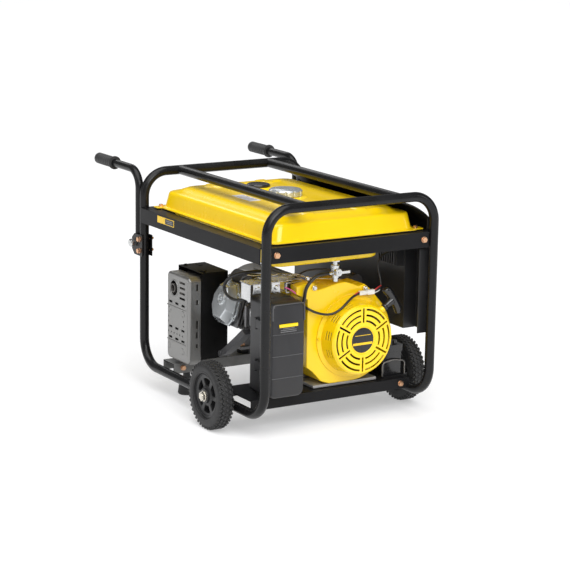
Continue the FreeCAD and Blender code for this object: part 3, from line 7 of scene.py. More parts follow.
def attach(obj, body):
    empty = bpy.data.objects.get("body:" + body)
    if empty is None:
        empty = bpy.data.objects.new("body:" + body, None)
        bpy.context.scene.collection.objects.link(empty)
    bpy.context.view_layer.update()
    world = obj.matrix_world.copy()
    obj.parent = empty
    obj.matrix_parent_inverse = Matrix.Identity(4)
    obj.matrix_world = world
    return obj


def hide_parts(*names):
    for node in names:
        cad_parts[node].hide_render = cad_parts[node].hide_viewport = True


# Portable generator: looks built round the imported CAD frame.
# Lengths are given in millimetres about the middle of the tubular frame and
# turned into metres in the shared frame by at().

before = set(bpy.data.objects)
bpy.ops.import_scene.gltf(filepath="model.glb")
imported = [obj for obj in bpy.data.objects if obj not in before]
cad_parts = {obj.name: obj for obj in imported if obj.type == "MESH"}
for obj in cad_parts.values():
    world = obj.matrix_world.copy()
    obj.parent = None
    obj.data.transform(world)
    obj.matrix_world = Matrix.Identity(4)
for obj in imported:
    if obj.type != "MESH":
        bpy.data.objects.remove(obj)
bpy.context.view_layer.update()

FRAME_MIDDLE_Y = 133.9
MM = 0.001


def at(x, y, z):
    """Point in the shared frame, in metres, from millimetres about the frame's middle."""
    return Vector((x * MM, (y - FRAME_MIDDLE_Y) * MM, z * MM))


# ------------------------------------------------------------------ materials

# Places of the colour sockets on Blender's Mix node.
MIX_COLOUR_A, MIX_COLOUR_B, MIX_COLOUR_RESULT = 6, 7, 2
# An edge starts to wear where its rounded normal leaves the face's, and wears fully further on.
WEAR_STARTS, WEAR_FULL = 0.995, 0.86


def surface(name, colour, roughness, metallic=0.0, coat=0.0, variation=0.08, patch=9.0,
            grain=400.0, bump=0.05, edge=None, edge_mix=0.5, edge_radius=0.0012, streak=None,
            specular=0.5, spread=0.08, glow=0.0):
    """Procedural finish: colour drift, roughness drift, fine bump, worn edges and glow."""
    material = bpy.data.materials.new(name)
    material.use_nodes = True
    tree = material.node_tree
    nodes, links = tree.nodes, tree.links
    nodes.clear()
    output = nodes.new("ShaderNodeOutputMaterial")
    shader = nodes.new("ShaderNodeBsdfPrincipled")
    links.new(shader.outputs["BSDF"], output.inputs["Surface"])
    shader.inputs["Metallic"].default_value = metallic
    shader.inputs["Coat Weight"].default_value = coat
    shader.inputs["Coat Roughness"].default_value = 0.08
    shader.inputs["Specular IOR Level"].default_value = specular
    place = nodes.new("ShaderNodeTexCoord")
    mapping = nodes.new("ShaderNodeMapping")
    if streak:
        mapping.inputs["Scale"].default_value = streak
    links.new(place.outputs["Object"], mapping.inputs["Vector"])

    drift = nodes.new("ShaderNodeTexNoise")
    drift.inputs["Scale"].default_value = patch
    drift.inputs["Detail"].default_value = 6.0
    drift.inputs["Roughness"].default_value = 0.6
    links.new(mapping.outputs["Vector"], drift.inputs["Vector"])
    ramp = nodes.new("ShaderNodeValToRGB")
    ramp.color_ramp.elements[0].position = 0.3
    ramp.color_ramp.elements[1].position = 0.7
    dark = [channel * (1.0 - variation) for channel in colour]
    light = [min(1.0, channel * (1.0 + variation) + variation * 0.01) for channel in colour]
    ramp.color_ramp.elements[0].color = (*dark, 1.0)
    ramp.color_ramp.elements[1].color = (*light, 1.0)
    links.new(drift.outputs["Fac"], ramp.inputs["Fac"])
    base = ramp.outputs["Color"]

    fine = nodes.new("ShaderNodeTexNoise")
    fine.inputs["Scale"].default_value = grain
    fine.inputs["Detail"].default_value = 3.0
    links.new(mapping.outputs["Vector"], fine.inputs["Vector"])

    if edge:
        bevel = nodes.new("ShaderNodeBevel")
        bevel.samples = 4
        bevel.inputs["Radius"].default_value = edge_radius
        geometry = nodes.new("ShaderNodeNewGeometry")
        facing = nodes.new("ShaderNodeVectorMath")
        facing.operation = "DOT_PRODUCT"
        links.new(bevel.outputs["Normal"], facing.inputs[0])
        links.new(geometry.outputs["Normal"], facing.inputs[1])
        broken = nodes.new("ShaderNodeMapRange")
        broken.inputs["From Min"].default_value = WEAR_STARTS
        broken.inputs["From Max"].default_value = WEAR_FULL
        broken.inputs["To Max"].default_value = edge_mix
        links.new(facing.outputs["Value"], broken.inputs["Value"])
        patchy = nodes.new("ShaderNodeMath")
        patchy.operation = "MULTIPLY"
        links.new(broken.outputs["Result"], patchy.inputs[0])
        links.new(fine.outputs["Fac"], patchy.inputs[1])
        worn = nodes.new("ShaderNodeMix")
        worn.data_type = "RGBA"
        links.new(patchy.outputs["Value"], worn.inputs["Factor"])
        links.new(base, worn.inputs[MIX_COLOUR_A])
        worn.inputs[MIX_COLOUR_B].default_value = (*edge, 1.0)
        base = worn.outputs[MIX_COLOUR_RESULT]
    links.new(base, shader.inputs["Base Color"])
    if glow:
        shader.inputs["Emission Color"].default_value = (1.0, 1.0, 1.0, 1.0)
        shader.inputs["Emission Strength"].default_value = glow

    sheen = nodes.new("ShaderNodeMapRange")
    sheen.inputs["From Min"].default_value = 0.3
    sheen.inputs["From Max"].default_value = 0.7
    sheen.inputs["To Min"].default_value = max(0.02, roughness - spread)
    sheen.inputs["To Max"].default_value = min(1.0, roughness + spread)
    links.new(drift.outputs["Fac"], sheen.inputs["Value"])
    links.new(sheen.outputs["Result"], shader.inputs["Roughness"])

    relief = nodes.new("ShaderNodeBump")
    relief.inputs["Strength"].default_value = bump
    relief.inputs["Distance"].default_value = 0.0006
    links.new(fine.outputs["Fac"], relief.inputs["Height"])
    if edge:
        links.new(bevel.outputs["Normal"], relief.inputs["Normal"])
    links.new(relief.outputs["Normal"], shader.inputs["Normal"])
    return material


YELLOW = (0.97, 0.655, 0.003)
yellow_paint = surface("yellow_paint", YELLOW, 0.25, coat=0.2, variation=0.025, patch=4.0,
                       grain=260.0, bump=0.03, edge=(1.0, 0.74, 0.12), edge_mix=0.5)
black_paint = surface("black_paint", (0.006, 0.006, 0.0065), 0.27, coat=0.05, variation=0.25, specular=0.25,
                      patch=6.0, grain=320.0, bump=0.05, edge=(0.05, 0.05, 0.052), edge_mix=0.6)
rail_paint = surface("rail_paint", (0.008, 0.008, 0.009), 0.40, variation=0.2, patch=5.0, specular=0.14,
                     grain=300.0, bump=0.06, edge=(0.10, 0.10, 0.10), edge_mix=0.6)
grey_member = surface("grey_member", (0.20, 0.20, 0.195), 0.5, metallic=0.3, variation=0.25,
                      patch=14.0, grain=350.0, bump=0.08, edge=(0.4, 0.4, 0.4))
zinc = surface("zinc", (0.66, 0.63, 0.56), 0.26, metallic=1.0, variation=0.18, patch=60.0,
               grain=900.0, bump=0.05, edge=(0.92, 0.88, 0.8))
copper_zinc = surface("copper_zinc", (0.72, 0.42, 0.25), 0.3, metallic=1.0, variation=0.2,
                      patch=80.0, grain=900.0, bump=0.08, edge=(0.95, 0.7, 0.5))
bright_steel = surface("bright_steel", (0.62, 0.63, 0.63), 0.24, metallic=1.0, variation=0.15,
                       patch=40.0, grain=700.0, bump=0.06, edge=(0.9, 0.9, 0.9))
dark_steel = surface("dark_steel", (0.20, 0.19, 0.18), 0.45, metallic=0.9, variation=0.3,
                     patch=25.0, grain=500.0, bump=0.12)
guard_metal = surface("guard_metal", (0.27, 0.268, 0.262), 0.38, metallic=0.7, variation=0.12,
                      patch=7.0, grain=700.0, bump=0.06, edge=(0.75, 0.75, 0.74), edge_mix=0.8,
                      streak=(1.0, 1.0, 0.25))
polished_cover = surface("polished_cover", (0.58, 0.61, 0.63), 0.25, metallic=0.72, variation=0.05,
                         patch=6.0, grain=600.0, bump=0.01, spread=0.03, edge=(0.9, 0.92, 0.93))
cast_alloy = surface("cast_alloy", (0.24, 0.24, 0.245), 0.48, metallic=0.7, variation=0.25,
                     patch=20.0, grain=260.0, bump=0.35, edge=(0.45, 0.45, 0.45))
cast_bright = surface("cast_bright", (0.52, 0.52, 0.52), 0.42, metallic=0.7, variation=0.15,
                      patch=20.0, grain=260.0, bump=0.2, edge=(0.7, 0.7, 0.7))
cast_dark = surface("cast_dark", (0.085, 0.085, 0.09), 0.5, metallic=0.5, variation=0.3,
                    patch=18.0, grain=240.0, bump=0.35, edge=(0.25, 0.25, 0.25))
shroud_paint = surface("shroud_paint", (0.13, 0.13, 0.135), 0.38, metallic=0.4, coat=0.2,
                       variation=0.2, patch=9.0, grain=300.0, bump=0.06, edge=(0.35, 0.35, 0.35))
heat_black = surface("heat_black", (0.006, 0.006, 0.006), 0.5, variation=0.35, patch=8.0, specular=0.12,
                     grain=420.0, bump=0.10, edge=(0.03, 0.028, 0.026))
filter_plastic = surface("filter_plastic", (0.017, 0.017, 0.019), 0.40, variation=0.12, patch=12.0,
                         grain=1400.0, bump=0.10, edge=(0.10, 0.10, 0.105), edge_mix=0.7)
# Lighter grey than filter_plastic: a painted highlight for the light lines along the air filter's ridges.
ridge_highlight_plastic = surface("ridge_highlight_plastic", (0.085, 0.085, 0.088), 0.34, variation=0.1, patch=12.0,
                        grain=1400.0, bump=0.06)
gloss_plastic = surface("gloss_plastic", (0.010, 0.010, 0.011), 0.22, coat=0.3, variation=0.15,
                        patch=20.0, grain=900.0, bump=0.03, edge=(0.08, 0.08, 0.08))
panel_black = surface("panel_black", (0.014, 0.014, 0.015), 0.4, coat=0.1, variation=0.2,
                      patch=7.0, grain=500.0, bump=0.05, edge=(0.07, 0.07, 0.07))
grip_rubber = surface("grip_rubber", (0.030, 0.030, 0.031), 0.55, variation=0.2, patch=30.0,
                      grain=1600.0, bump=0.15, edge=(0.09, 0.09, 0.09))
rim_plastic = surface("rim_plastic", (0.020, 0.020, 0.021), 0.36, variation=0.12, patch=8.0,
                      grain=420.0, bump=0.05, edge=(0.07, 0.07, 0.07), specular=0.4)
tyre_rubber = surface("tyre_rubber", (0.014, 0.014, 0.0145), 0.55, variation=0.25, patch=25.0,
                      grain=900.0, bump=0.25, edge=(0.085, 0.083, 0.08), edge_mix=0.8)
hose_rubber = surface("hose_rubber", (0.016, 0.016, 0.016), 0.4, variation=0.2, patch=40.0,
                      grain=1200.0, bump=0.06)
white_plastic = surface("white_plastic", (0.80, 0.79, 0.76), 0.35, variation=0.05, patch=60.0,
                        grain=900.0, bump=0.04, edge=(0.9, 0.9, 0.9))
red_wire = surface("red_wire", (0.55, 0.03, 0.03), 0.4, variation=0.15, patch=80.0, grain=900.0)
pink_wire = surface("pink_wire", (0.75, 0.10, 0.32), 0.4, variation=0.15, patch=80.0, grain=900.0)
label_black = surface("label_black", (0.012, 0.012, 0.013), 0.3, variation=0.15, patch=40.0,
                      grain=900.0, bump=0.02)
label_yellow = surface("label_yellow", (0.92, 0.58, 0.01), 0.3, variation=0.04, patch=40.0,
                       grain=900.0, bump=0.02)
label_white = surface("label_white", (0.72, 0.70, 0.72), 0.4, variation=0.05, patch=50.0,
                      grain=900.0, bump=0.02)
label_grey = surface("label_grey", (0.22, 0.22, 0.23), 0.4, variation=0.08, patch=50.0,
                     grain=900.0, bump=0.02)
dial_white = surface("dial_white", (0.75, 0.75, 0.73), 0.3, variation=0.05, patch=50.0,
                     grain=900.0, bump=0.02)


def paint_node(node, material):
    """Give a carried-over CAD node its procedural finish."""
    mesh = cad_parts[node].data
    mesh.materials.clear()
    mesh.materials.append(material)
    for polygon in mesh.polygons:
        polygon.material_index = 0


NODE_FINISH = {
    "frame_hoop_near": black_paint, "frame_hoop_far": black_paint,
    "frame_straight_tubes": black_paint, "tank_rails": rail_paint, "frame_brackets": black_paint,
    "cross_members": rail_paint, "rubber_mounts": tyre_rubber, "stub_axles": zinc,
    "frame_bolts": copper_zinc, "handle_pivots": bright_steel, "fuel_tank": yellow_paint,
    "fuel_gauge": gloss_plastic, "fuel_valve": bright_steel, "fuel_hose": hose_rubber,
    "crankcase": cast_alloy, "cylinder": cast_alloy, "valve_cover": polished_cover,
    "cylinder_shroud": shroud_paint, "blower_housing": yellow_paint,
    "recoil_cover": yellow_paint, "carburettor": cast_alloy, "governor_bracket": bright_steel,
    "air_filter_base": filter_plastic, "air_filter_cover": filter_plastic,
    "muffler": dark_steel, "muffler_guard": guard_metal, "heat_shield": heat_black,
    "starter_motor": cast_dark, "alternator_housing": cast_alloy,
    "alternator_end_cover": cast_alloy, "panel_hood": yellow_paint, "panel_box": panel_black,
    "panel_plate": panel_black, "panel_fittings": gloss_plastic, "battery": gloss_plastic,
    "battery_strap": dark_steel, "wiring_leads": hose_rubber,
    "wheel_left_tyre": tyre_rubber, "wheel_right_tyre": tyre_rubber,
    "wheel_left_rim": rim_plastic, "wheel_right_rim": rim_plastic,
    "handle_left": black_paint, "handle_right": black_paint,
    "grip_left": grip_rubber, "grip_right": grip_rubber, "fuel_cap": polished_cover,
    "fuel_valve_lever": bright_steel, "choke_lever": bright_steel, "recoil_grip": gloss_plastic,
    "starter_pulley": filter_plastic, "crankshaft": dark_steel, "flywheel": cast_dark,
    "latch_left_upper": filter_plastic, "latch_left_lower": filter_plastic,
    "latch_right_upper": filter_plastic, "latch_right_lower": filter_plastic,
    "socket_lid_near": gloss_plastic, "socket_lid_far": gloss_plastic,
    "ignition_key": bright_steel, "breaker_switch": gloss_plastic,
}
for node_name, finish in NODE_FINISH.items():
    paint_node(node_name, finish)


def paint_where(node, material, chosen):
    """Second finish on the faces of a CAD node that chosen(centre, normal) picks."""
    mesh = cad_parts[node].data
    mesh.materials.append(material)
    index = len(mesh.materials) - 1
    for polygon in mesh.polygons:
        if chosen(polygon.center, polygon.normal):
            polygon.material_index = index


# The far cross member is bare grey along its length, and the hood has black ends.
paint_where("cross_members", grey_member,
            lambda centre, normal: centre.y > 0.0 and abs(normal.x) < 0.5)
paint_where("panel_hood", panel_black, lambda centre, normal: abs(normal.y) > 0.9)


# --------------------------------------------------------------- mesh building

X_AXIS, Y_AXIS, Z_AXIS = Vector((1, 0, 0)), Vector((0, 1, 0)), Vector((0, 0, 1))
# Points closer than the first are joined, and edges shorter than the second are removed.
JOIN_WITHIN, SLIVER_LENGTH = 0.02, 0.01


class Shape:
    """Mesh under construction, in millimetres about the frame's middle."""

    def __init__(self):
        self.mesh = bmesh.new()

    def loft(self, rings, capped=True):
        """Skin through rings of points, each ring with the same number of points."""
        rows = [[self.mesh.verts.new(point) for point in ring] for ring in rings]
        count = len(rows[0])
        for low, high in zip(rows, rows[1:]):
            for i in range(count):
                j = (i + 1) % count
                self.mesh.faces.new((low[i], low[j], high[j], high[i]))
        if capped:
            self.mesh.faces.new(rows[0])
            self.mesh.faces.new(rows[-1])

    def lathe(self, profile, origin, axis, steps=40, open_ends=False):
        """Turned shape from (radius, distance along axis) pairs."""
        origin, axis = Vector(origin), Vector(axis).normalized()
        side = axis.orthogonal().normalized()
        other = axis.cross(side)
        rings = []
        for radius, along in profile:
            radius = max(radius, 0.01)
            rings.append([
                origin + axis * along
                + (side * math.cos(turn) + other * math.sin(turn)) * radius
                for turn in (2 * math.pi * i / steps for i in range(steps))
            ])
        self.loft(rings, capped=not open_ends)

    def rod(self, start, end, radius, chamfer=0.6, steps=24):
        """Round bar with chamfered ends."""
        start, end = Vector(start), Vector(end)
        length = (end - start).length
        chamfer = min(chamfer, radius * 0.5, length * 0.4)
        profile = [
            (0, 0), (radius - chamfer, 0), (radius, chamfer),
            (radius, length - chamfer), (radius - chamfer, length), (0, length),
        ]
        self.lathe(profile, start, end - start, steps)

    def prism(self, outline, depth):
        """Solid between an outline of points and its copy moved by depth."""
        low = [Vector(point) for point in outline]
        self.loft([low, [point + Vector(depth) for point in low]])

    def box(self, low, high):
        """Block between two opposite corners."""
        (x0, y0, z0), (x1, y1, z1) = low, high
        outline = [(x0, y0, z0), (x1, y0, z0), (x1, y1, z0), (x0, y1, z0)]
        self.prism(outline, (0, 0, z1 - z0))

    def hex_bolt(self, centre, direction, across=10.0, height=4.5):
        """Flanged hexagon head standing on centre."""
        centre, way = Vector(centre), Vector(direction).normalized()
        self.lathe([(0, 0), (across * 0.68, 0), (across * 0.68, 0.8), (across * 0.55, 1.6), (0, 1.6)],
                   centre, way, 28)
        side = way.orthogonal().normalized()
        other = way.cross(side)
        rings = []
        for along, scale in ((1.0, 1.0), (height - 0.7, 1.0), (height, 0.88)):
            reach = across / math.sqrt(3) * scale
            rings.append([
                centre + way * along
                + (side * math.cos(turn) + other * math.sin(turn)) * reach
                for turn in (math.pi / 3 * i for i in range(6))
            ])
        self.loft(rings)

    def finish(self, name, material, body, slot, bevel=0.6, segments=2, crease=35.0):
        """Object in the shared frame that rides on a CAD body."""
        bmesh.ops.remove_doubles(self.mesh, verts=self.mesh.verts, dist=JOIN_WITHIN)
        bmesh.ops.dissolve_degenerate(self.mesh, edges=self.mesh.edges, dist=SLIVER_LENGTH)
        bmesh.ops.recalc_face_normals(self.mesh, faces=self.mesh.faces)
        for vertex in self.mesh.verts:
            vertex.co = at(*vertex.co)
        data = bpy.data.meshes.new(name)
        self.mesh.to_mesh(data)
        self.mesh.free()
        for polygon in data.polygons:
            polygon.use_smooth = True
        data.set_sharp_from_angle(angle=math.radians(crease))
        data.materials.append(material)
        piece = bpy.data.objects.new(name, data)
        bpy.context.scene.collection.objects.link(piece)
        if bevel:
            soften = piece.modifiers.new("soft_edges", "BEVEL")
            soften.width = bevel * MM
            soften.segments = segments
            soften.limit_method = "ANGLE"
            soften.angle_limit = math.radians(crease)
            soften.harden_normals = True
        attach(piece, body)
        return piece


def rounded_ring(half_x, half_y, corner, z, centre=(0.0, 0.0), arc_steps=8, side_steps=14):
    """Loop of points round a rectangle with round corners, level at height z."""
    corners = [
        (half_x - corner, half_y - corner, 0), (corner - half_x, half_y - corner, 90),
        (corner - half_x, corner - half_y, 180), (half_x - corner, corner - half_y, 270),
    ]
    points = []
    for x, y, start in corners:
        for i in range(arc_steps + 1):
            turn = math.radians(start + 90.0 * i / arc_steps)
            points.append((x + corner * math.cos(turn), y + corner * math.sin(turn)))
    loop = []
    for i, (x, y) in enumerate(points):
        loop.append((x, y))
        if i % (arc_steps + 1) == arc_steps:
            next_x, next_y = points[(i + 1) % len(points)]
            for step in range(1, side_steps):
                part = step / side_steps
                loop.append((x + (next_x - x) * part, y + (next_y - y) * part))
    return [Vector((centre[0] + x, centre[1] + y, z)) for x, y in loop]


def smooth_line(name, points, radius, material, body):
    """Round wire, lead or rod along a smooth line through its control points."""
    curve = bpy.data.curves.new(name, "CURVE")
    curve.dimensions = "3D"
    curve.bevel_depth = radius * MM
    curve.bevel_resolution = 4
    curve.resolution_u = 8
    curve.use_fill_caps = True
    spline = curve.splines.new("NURBS")
    spline.points.add(len(points) - 1)
    for knot, point in zip(spline.points, points):
        knot.co = (*at(*point), 1.0)
    spline.order_u = 3
    spline.use_endpoint_u = True
    curve.materials.append(material)
    piece = bpy.data.objects.new(name, curve)
    bpy.context.scene.collection.objects.link(piece)
    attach(piece, body)
    return piece


def coil_spring(name, start, end, radius, wire, turns, material):
    """Helical spring between two points with a short straight hook at each end."""
    start, end = Vector(start), Vector(end)
    way = (end - start).normalized()
    side = way.orthogonal().normalized()
    other = way.cross(side)
    span = (end - start).length
    points = [start]
    for i in range(turns * 10 + 1):
        part = i / (turns * 10)
        turn = 2 * math.pi * turns * part
        centre = start + way * (span * (0.18 + 0.64 * part))
        points.append(centre + (side * math.cos(turn) + other * math.sin(turn)) * radius)
    points.append(end)
    return smooth_line(name, points, wire, material, "frame")


# ------------------------------------------------------------------- fuel tank

def fade(distance, inner, outer):
    """1 within the inner distance, 0 past the outer one, smooth between."""
    part = min(1.0, max(0.0, (outer - distance) / (outer - inner)))
    return part * part * (3.0 - 2.0 * part)


def tank_relief(x, y):
    """Height of the pressed ribs on the tank's top at a point."""
    lift = 0.0
    for middle in (-84.0, 72.0):
        across = fade(abs(x - middle), 10.0, 17.0)
        lift = max(lift, across * fade(abs(abs(y) - 228.0), 26.0, 36.0))
    for middle in (-159.0, 221.0):
        across = fade(abs(x), 114.0, 121.0)
        lift = max(lift, across * fade(abs(y - middle), 6.0, 12.0))
    return 2.4 * lift


TANK_TOP_Z = 561.0
TANK_TOP_HALF_X, TANK_TOP_HALF_Y, TANK_TOP_CORNER = 158, 250, 27
TANK_TOP_INSET, TANK_TOP_LOOPS = 4.0, 38
FIRST_RIBBED_RING = 11
TANK_RINGS = [
    (200, 277, 24, 503), (226, 303, 24, 503), (226, 303, 24, 505.5), (216.5, 295.5, 28, 505.5),
    (213.8, 292.8, 28, 507), (212.6, 291.6, 28, 511), (208.4, 286.8, 30, 538),
    (207, 285, 30, 544), (205.6, 283.6, 30, 546.6), (203, 281, 31, 548.4),
    (198, 277, 31, 549.8), (190, 272, 31, 551.2), (182, 266, 30, 553.6),
    (172, 259, 29, 557.6), (166, 255, 28, 559.8),
    (TANK_TOP_HALF_X, TANK_TOP_HALF_Y, TANK_TOP_CORNER, TANK_TOP_Z),
]
tank = Shape()
rings = [
    rounded_ring(half_x, half_y, corner, z, arc_steps=10, side_steps=70)
    for half_x, half_y, corner, z in TANK_RINGS
]
for step in range(1, TANK_TOP_LOOPS + 1):
    inset = TANK_TOP_INSET * step
    corner = max(2.0, TANK_TOP_CORNER - inset * 0.6)
    rings.append(rounded_ring(TANK_TOP_HALF_X - inset, TANK_TOP_HALF_Y - inset, corner, TANK_TOP_Z,
                              arc_steps=10, side_steps=70))
for ring in rings[FIRST_RIBBED_RING:]:
    for point in ring:
        point.z += tank_relief(point.x, point.y)
tank.loft(rings)
tank_shell = tank.finish("tank_shell", yellow_paint, "frame", "tank_yellow", bevel=0)
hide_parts("fuel_tank")

SUMP_MIDDLE = (-37.0, 0.0)
sump = Shape()
sump.loft([
    rounded_ring(159, 272, 30, 504, SUMP_MIDDLE), rounded_ring(159, 272, 30, 446, SUMP_MIDDLE),
    rounded_ring(157.5, 270.5, 30, 440, SUMP_MIDDLE),
    rounded_ring(153, 266, 28, 436.4, SUMP_MIDDLE), rounded_ring(146, 259, 24, 435, SUMP_MIDDLE),
])
sump.loft([
    rounded_ring(57, 272, 20, 504, (147, 0)), rounded_ring(57, 272, 20, 482, (147, 0)),
    rounded_ring(54, 269, 19, 475, (147, 0)), rounded_ring(48, 263, 17, 472, (147, 0)),
])
sump.finish("tank_sump", yellow_paint, "frame", "tank_yellow", bevel=0)

seats = Shape()
seats.lathe([(60, 560.6), (57, 561.6), (54.5, 563), (52, 563.6), (42, 563.8), (38, 562.5), (0, 562.5)],
            (0, 0, 0), Z_AXIS, 72)
seats.lathe([(46, 560.6), (43.5, 562), (41, 565), (39, 566), (20, 566.2), (0, 566.2)],
            (0, 140, 0), Z_AXIS, 72)
for x in (-222, 222):
    for y in (-283, 283):
        seats.loft([
            rounded_ring(16, 14, 5, 503, (x, y)), rounded_ring(16, 14, 5, 505.6, (x, y)),
        ])
seats.finish("tank_seats", yellow_paint, "frame", "tank_yellow", bevel=0.4)

# Thin black band just under the tank's flange: a painted shadow of the flange lip on the rail, not a seal.
# It borrows the black hose rubber finish.
flange_shadow = Shape()
flange_shadow.loft([
    rounded_ring(226.6, 303.6, 24.6, 502.4), rounded_ring(226.6, 303.6, 24.6, 503.2),
    rounded_ring(222, 299, 22, 503.2), rounded_ring(222, 299, 22, 502.4),
])
flange_shadow.finish("tank_flange_shadow", hose_rubber, "frame", "rubber_black", bevel=0)

sticker = Shape()
sticker.loft([rounded_ring(17.5, 48, 3, 560.9, (-107.5, 21), 4, 4),
              rounded_ring(17.5, 48, 3, 561.35, (-107.5, 21), 4, 4)])
sticker.finish("tank_sticker", label_white, "frame", "tank_yellow", bevel=0)
marks = Shape()
for y, half in ((-10, 14), (6, 14), (20, 10), (34, 14), (50, 12)):
    marks.box((-107.5 - half, y - 3.0, 561.3), (-107.5 + half, y + 3.0, 561.6))
marks.finish("tank_sticker_bands", label_grey, "frame", "tank_yellow", bevel=0)

# ------------------------------------------------------------------ air filter

FILTER_FRONT = -288.0


def upright_ring(half_x, half_z, corner, y, centre):
    """Rounded rectangle standing square to Y, round a centre (x, z)."""
    return [
        Vector((centre[0] + point.x, y, centre[1] + point.y))
        for point in rounded_ring(half_x, half_z, corner, 0.0)
    ]


FILTER_MIDDLE = (-162.0, 226.0)
casing = Shape()
casing.loft([
    upright_ring(half_x, half_z, corner, y, FILTER_MIDDLE)
    for half_x, half_z, corner, y in (
        (49.0, 123, 17, -232.4), (50.0, 124, 18, -236), (50.0, 124, 18, -276), (49.4, 123.2, 18, -280),
        (47.8, 121.4, 17, -284.4), (45.6, 119.0, 15, -287.0), (42.5, 116.0, 13, FILTER_FRONT),
    )
])
filter_casing = casing.finish("filter_casing", filter_plastic, "frame", "filter_black", bevel=0)
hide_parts("air_filter_cover")
# The ridges and the top ridge are in a lighter grey than the casing, as a painted highlight along them.
ridges = Shape()
for z in (269.0, 212.8, 155.8):
    ridges.box((-208, FILTER_FRONT - 0.9, z - 0.9), (-116, FILTER_FRONT + 3, z + 0.9))
ridges.finish("filter_ridges", ridge_highlight_plastic, "frame", "filter_black", bevel=0.8)
smooth_line(
    "filter_top_ridge",
    [(-208, FILTER_FRONT, 306), (-208, FILTER_FRONT, 326), (-208, FILTER_FRONT, 345),
     (-190, FILTER_FRONT, 345.5), (-162, FILTER_FRONT, 345.5), (-134, FILTER_FRONT, 345.5),
     (-116, FILTER_FRONT, 345), (-116, FILTER_FRONT, 326), (-115, FILTER_FRONT, 300)],
    1.5, ridge_highlight_plastic, "frame",
)
badge = Shape()
badge.box((-190.5, FILTER_FRONT - 0.7, 270.5), (-134, FILTER_FRONT + 1, 287.5))
badge.finish("filter_label", label_black, "frame", "filter_black", bevel=0.3)
badge_lines = Shape()
for z, half in ((283.5, 17), (279.5, 23), (275.0, 23)):
    badge_lines.box((-162 - half, FILTER_FRONT - 0.9, z - 0.6), (-162 + half, FILTER_FRONT, z + 0.6))
badge_lines.finish("filter_label_bands", label_grey, "frame", "filter_black", bevel=0)
bar = Shape()
bar.box((-190, FILTER_FRONT - 3.2, 286.6), (-135, FILTER_FRONT + 1, 295.4))
bar.finish("filter_bar", yellow_paint, "frame", "tank_yellow", bevel=2.4, segments=4)
for name, x_low, x_high in (("filter_lip_left", -213.6, -209.6), ("filter_lip_right", -114.4, -110.4)):
    lip = Shape()
    lip.box((x_low, -237, 108), (x_high, -233.2, 344))
    lip.finish(name, filter_plastic, "frame", "filter_black", bevel=1.2)

# ------------------------------------------------------------- recoil and blower

CRANK_X, CRANK_Z, COVER_FRONT = 64.0, 225.0, -285.5
hub = Shape()
hub.lathe([(0, 0), (33, 0), (33, 0.6), (31.6, 1.0), (0, 1.0)], (CRANK_X, COVER_FRONT + 0.1, CRANK_Z),
          -Y_AXIS, 72)
hub.finish("hub_label", label_black, "frame", "tank_yellow", bevel=0)
band = Shape()
band.box((CRANK_X - 29.5, COVER_FRONT - 1.4, 213), (CRANK_X + 29.5, COVER_FRONT, 219))
band.box((CRANK_X - 24, COVER_FRONT - 1.3, 237.4), (CRANK_X + 24, COVER_FRONT, 238.8))
band.finish("hub_band", label_yellow, "frame", "tank_yellow", bevel=0.2)
rim = Shape()
rim.lathe([(34.2, -0.4), (35.6, 1.1), (37.0, 1.3), (38.6, -0.4)], (CRANK_X, COVER_FRONT, CRANK_Z),
          -Y_AXIS, 72)
rim.finish("hub_rim", yellow_paint, "frame", "tank_yellow", bevel=0)

BLOWER_NEAR = -230.0
lug_bolts = Shape()
for x, z in ((-52, 364), (104, 347)):
    lug_bolts.hex_bolt((x, BLOWER_NEAR - 3, z), -Y_AXIS, 10, 5)
lug_bolts.finish("blower_lug_bolts", bright_steel, "frame", "zinc", bevel=0.4)

# ------------------------------------------------------------------------ leads

ENGINE_LEAD = [
    (-78, -150, 318), (-78, -200, 321), (-77, -240, 314), (-48, -246, 299), (-14, -252, 293),
    (11, -260, 306), (36, -257, 325), (57, -249, 335), (78, -242.5, 339),
]
PANEL_LEAD = [
    (124, -242.5, 339), (146, -243, 343), (152, -232, 366), (148, -222, 392), (156, -216, 418),
    (176, -214, 430), (199, -213.5, 434),
]
smooth_line("engine_lead", ENGINE_LEAD, 3.2, hose_rubber, "frame")
smooth_line("panel_lead", PANEL_LEAD, 2.5, hose_rubber, "frame")
plug = Shape()
plug.box((78, -247.4, 333.6), (98, -237.6, 344.4))
plug.box((98, -246.6, 334.6), (102, -238.4, 343.4))
plug.box((102, -248, 333), (124, -237, 345))
plug.box((84, -248.4, 336.6), (112, -246.8, 341.4))
connector = plug.finish("lead_connector", white_plastic, "frame", "lead_black", bevel=0.9)
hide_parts("wiring_leads")
for name, points, finish in (
    ("red_tail_left", [(60, -248, 337), (69, -247, 343), (79, -243, 341.5)], red_wire),
    ("black_tail_left", [(58, -248, 333), (68, -246, 335), (79, -242, 336)], hose_rubber),
    ("red_tail_right",
     [(123, -244, 342), (130, -245, 346), (138, -244, 350), (148, -240, 352)], red_wire),
    ("white_tail_right", [(123, -243, 336), (132, -243, 336), (143, -242, 341)], white_plastic),
):
    smooth_line(name, points, 1.5, finish, "frame")

# ------------------------------------------------------------- throttle linkage

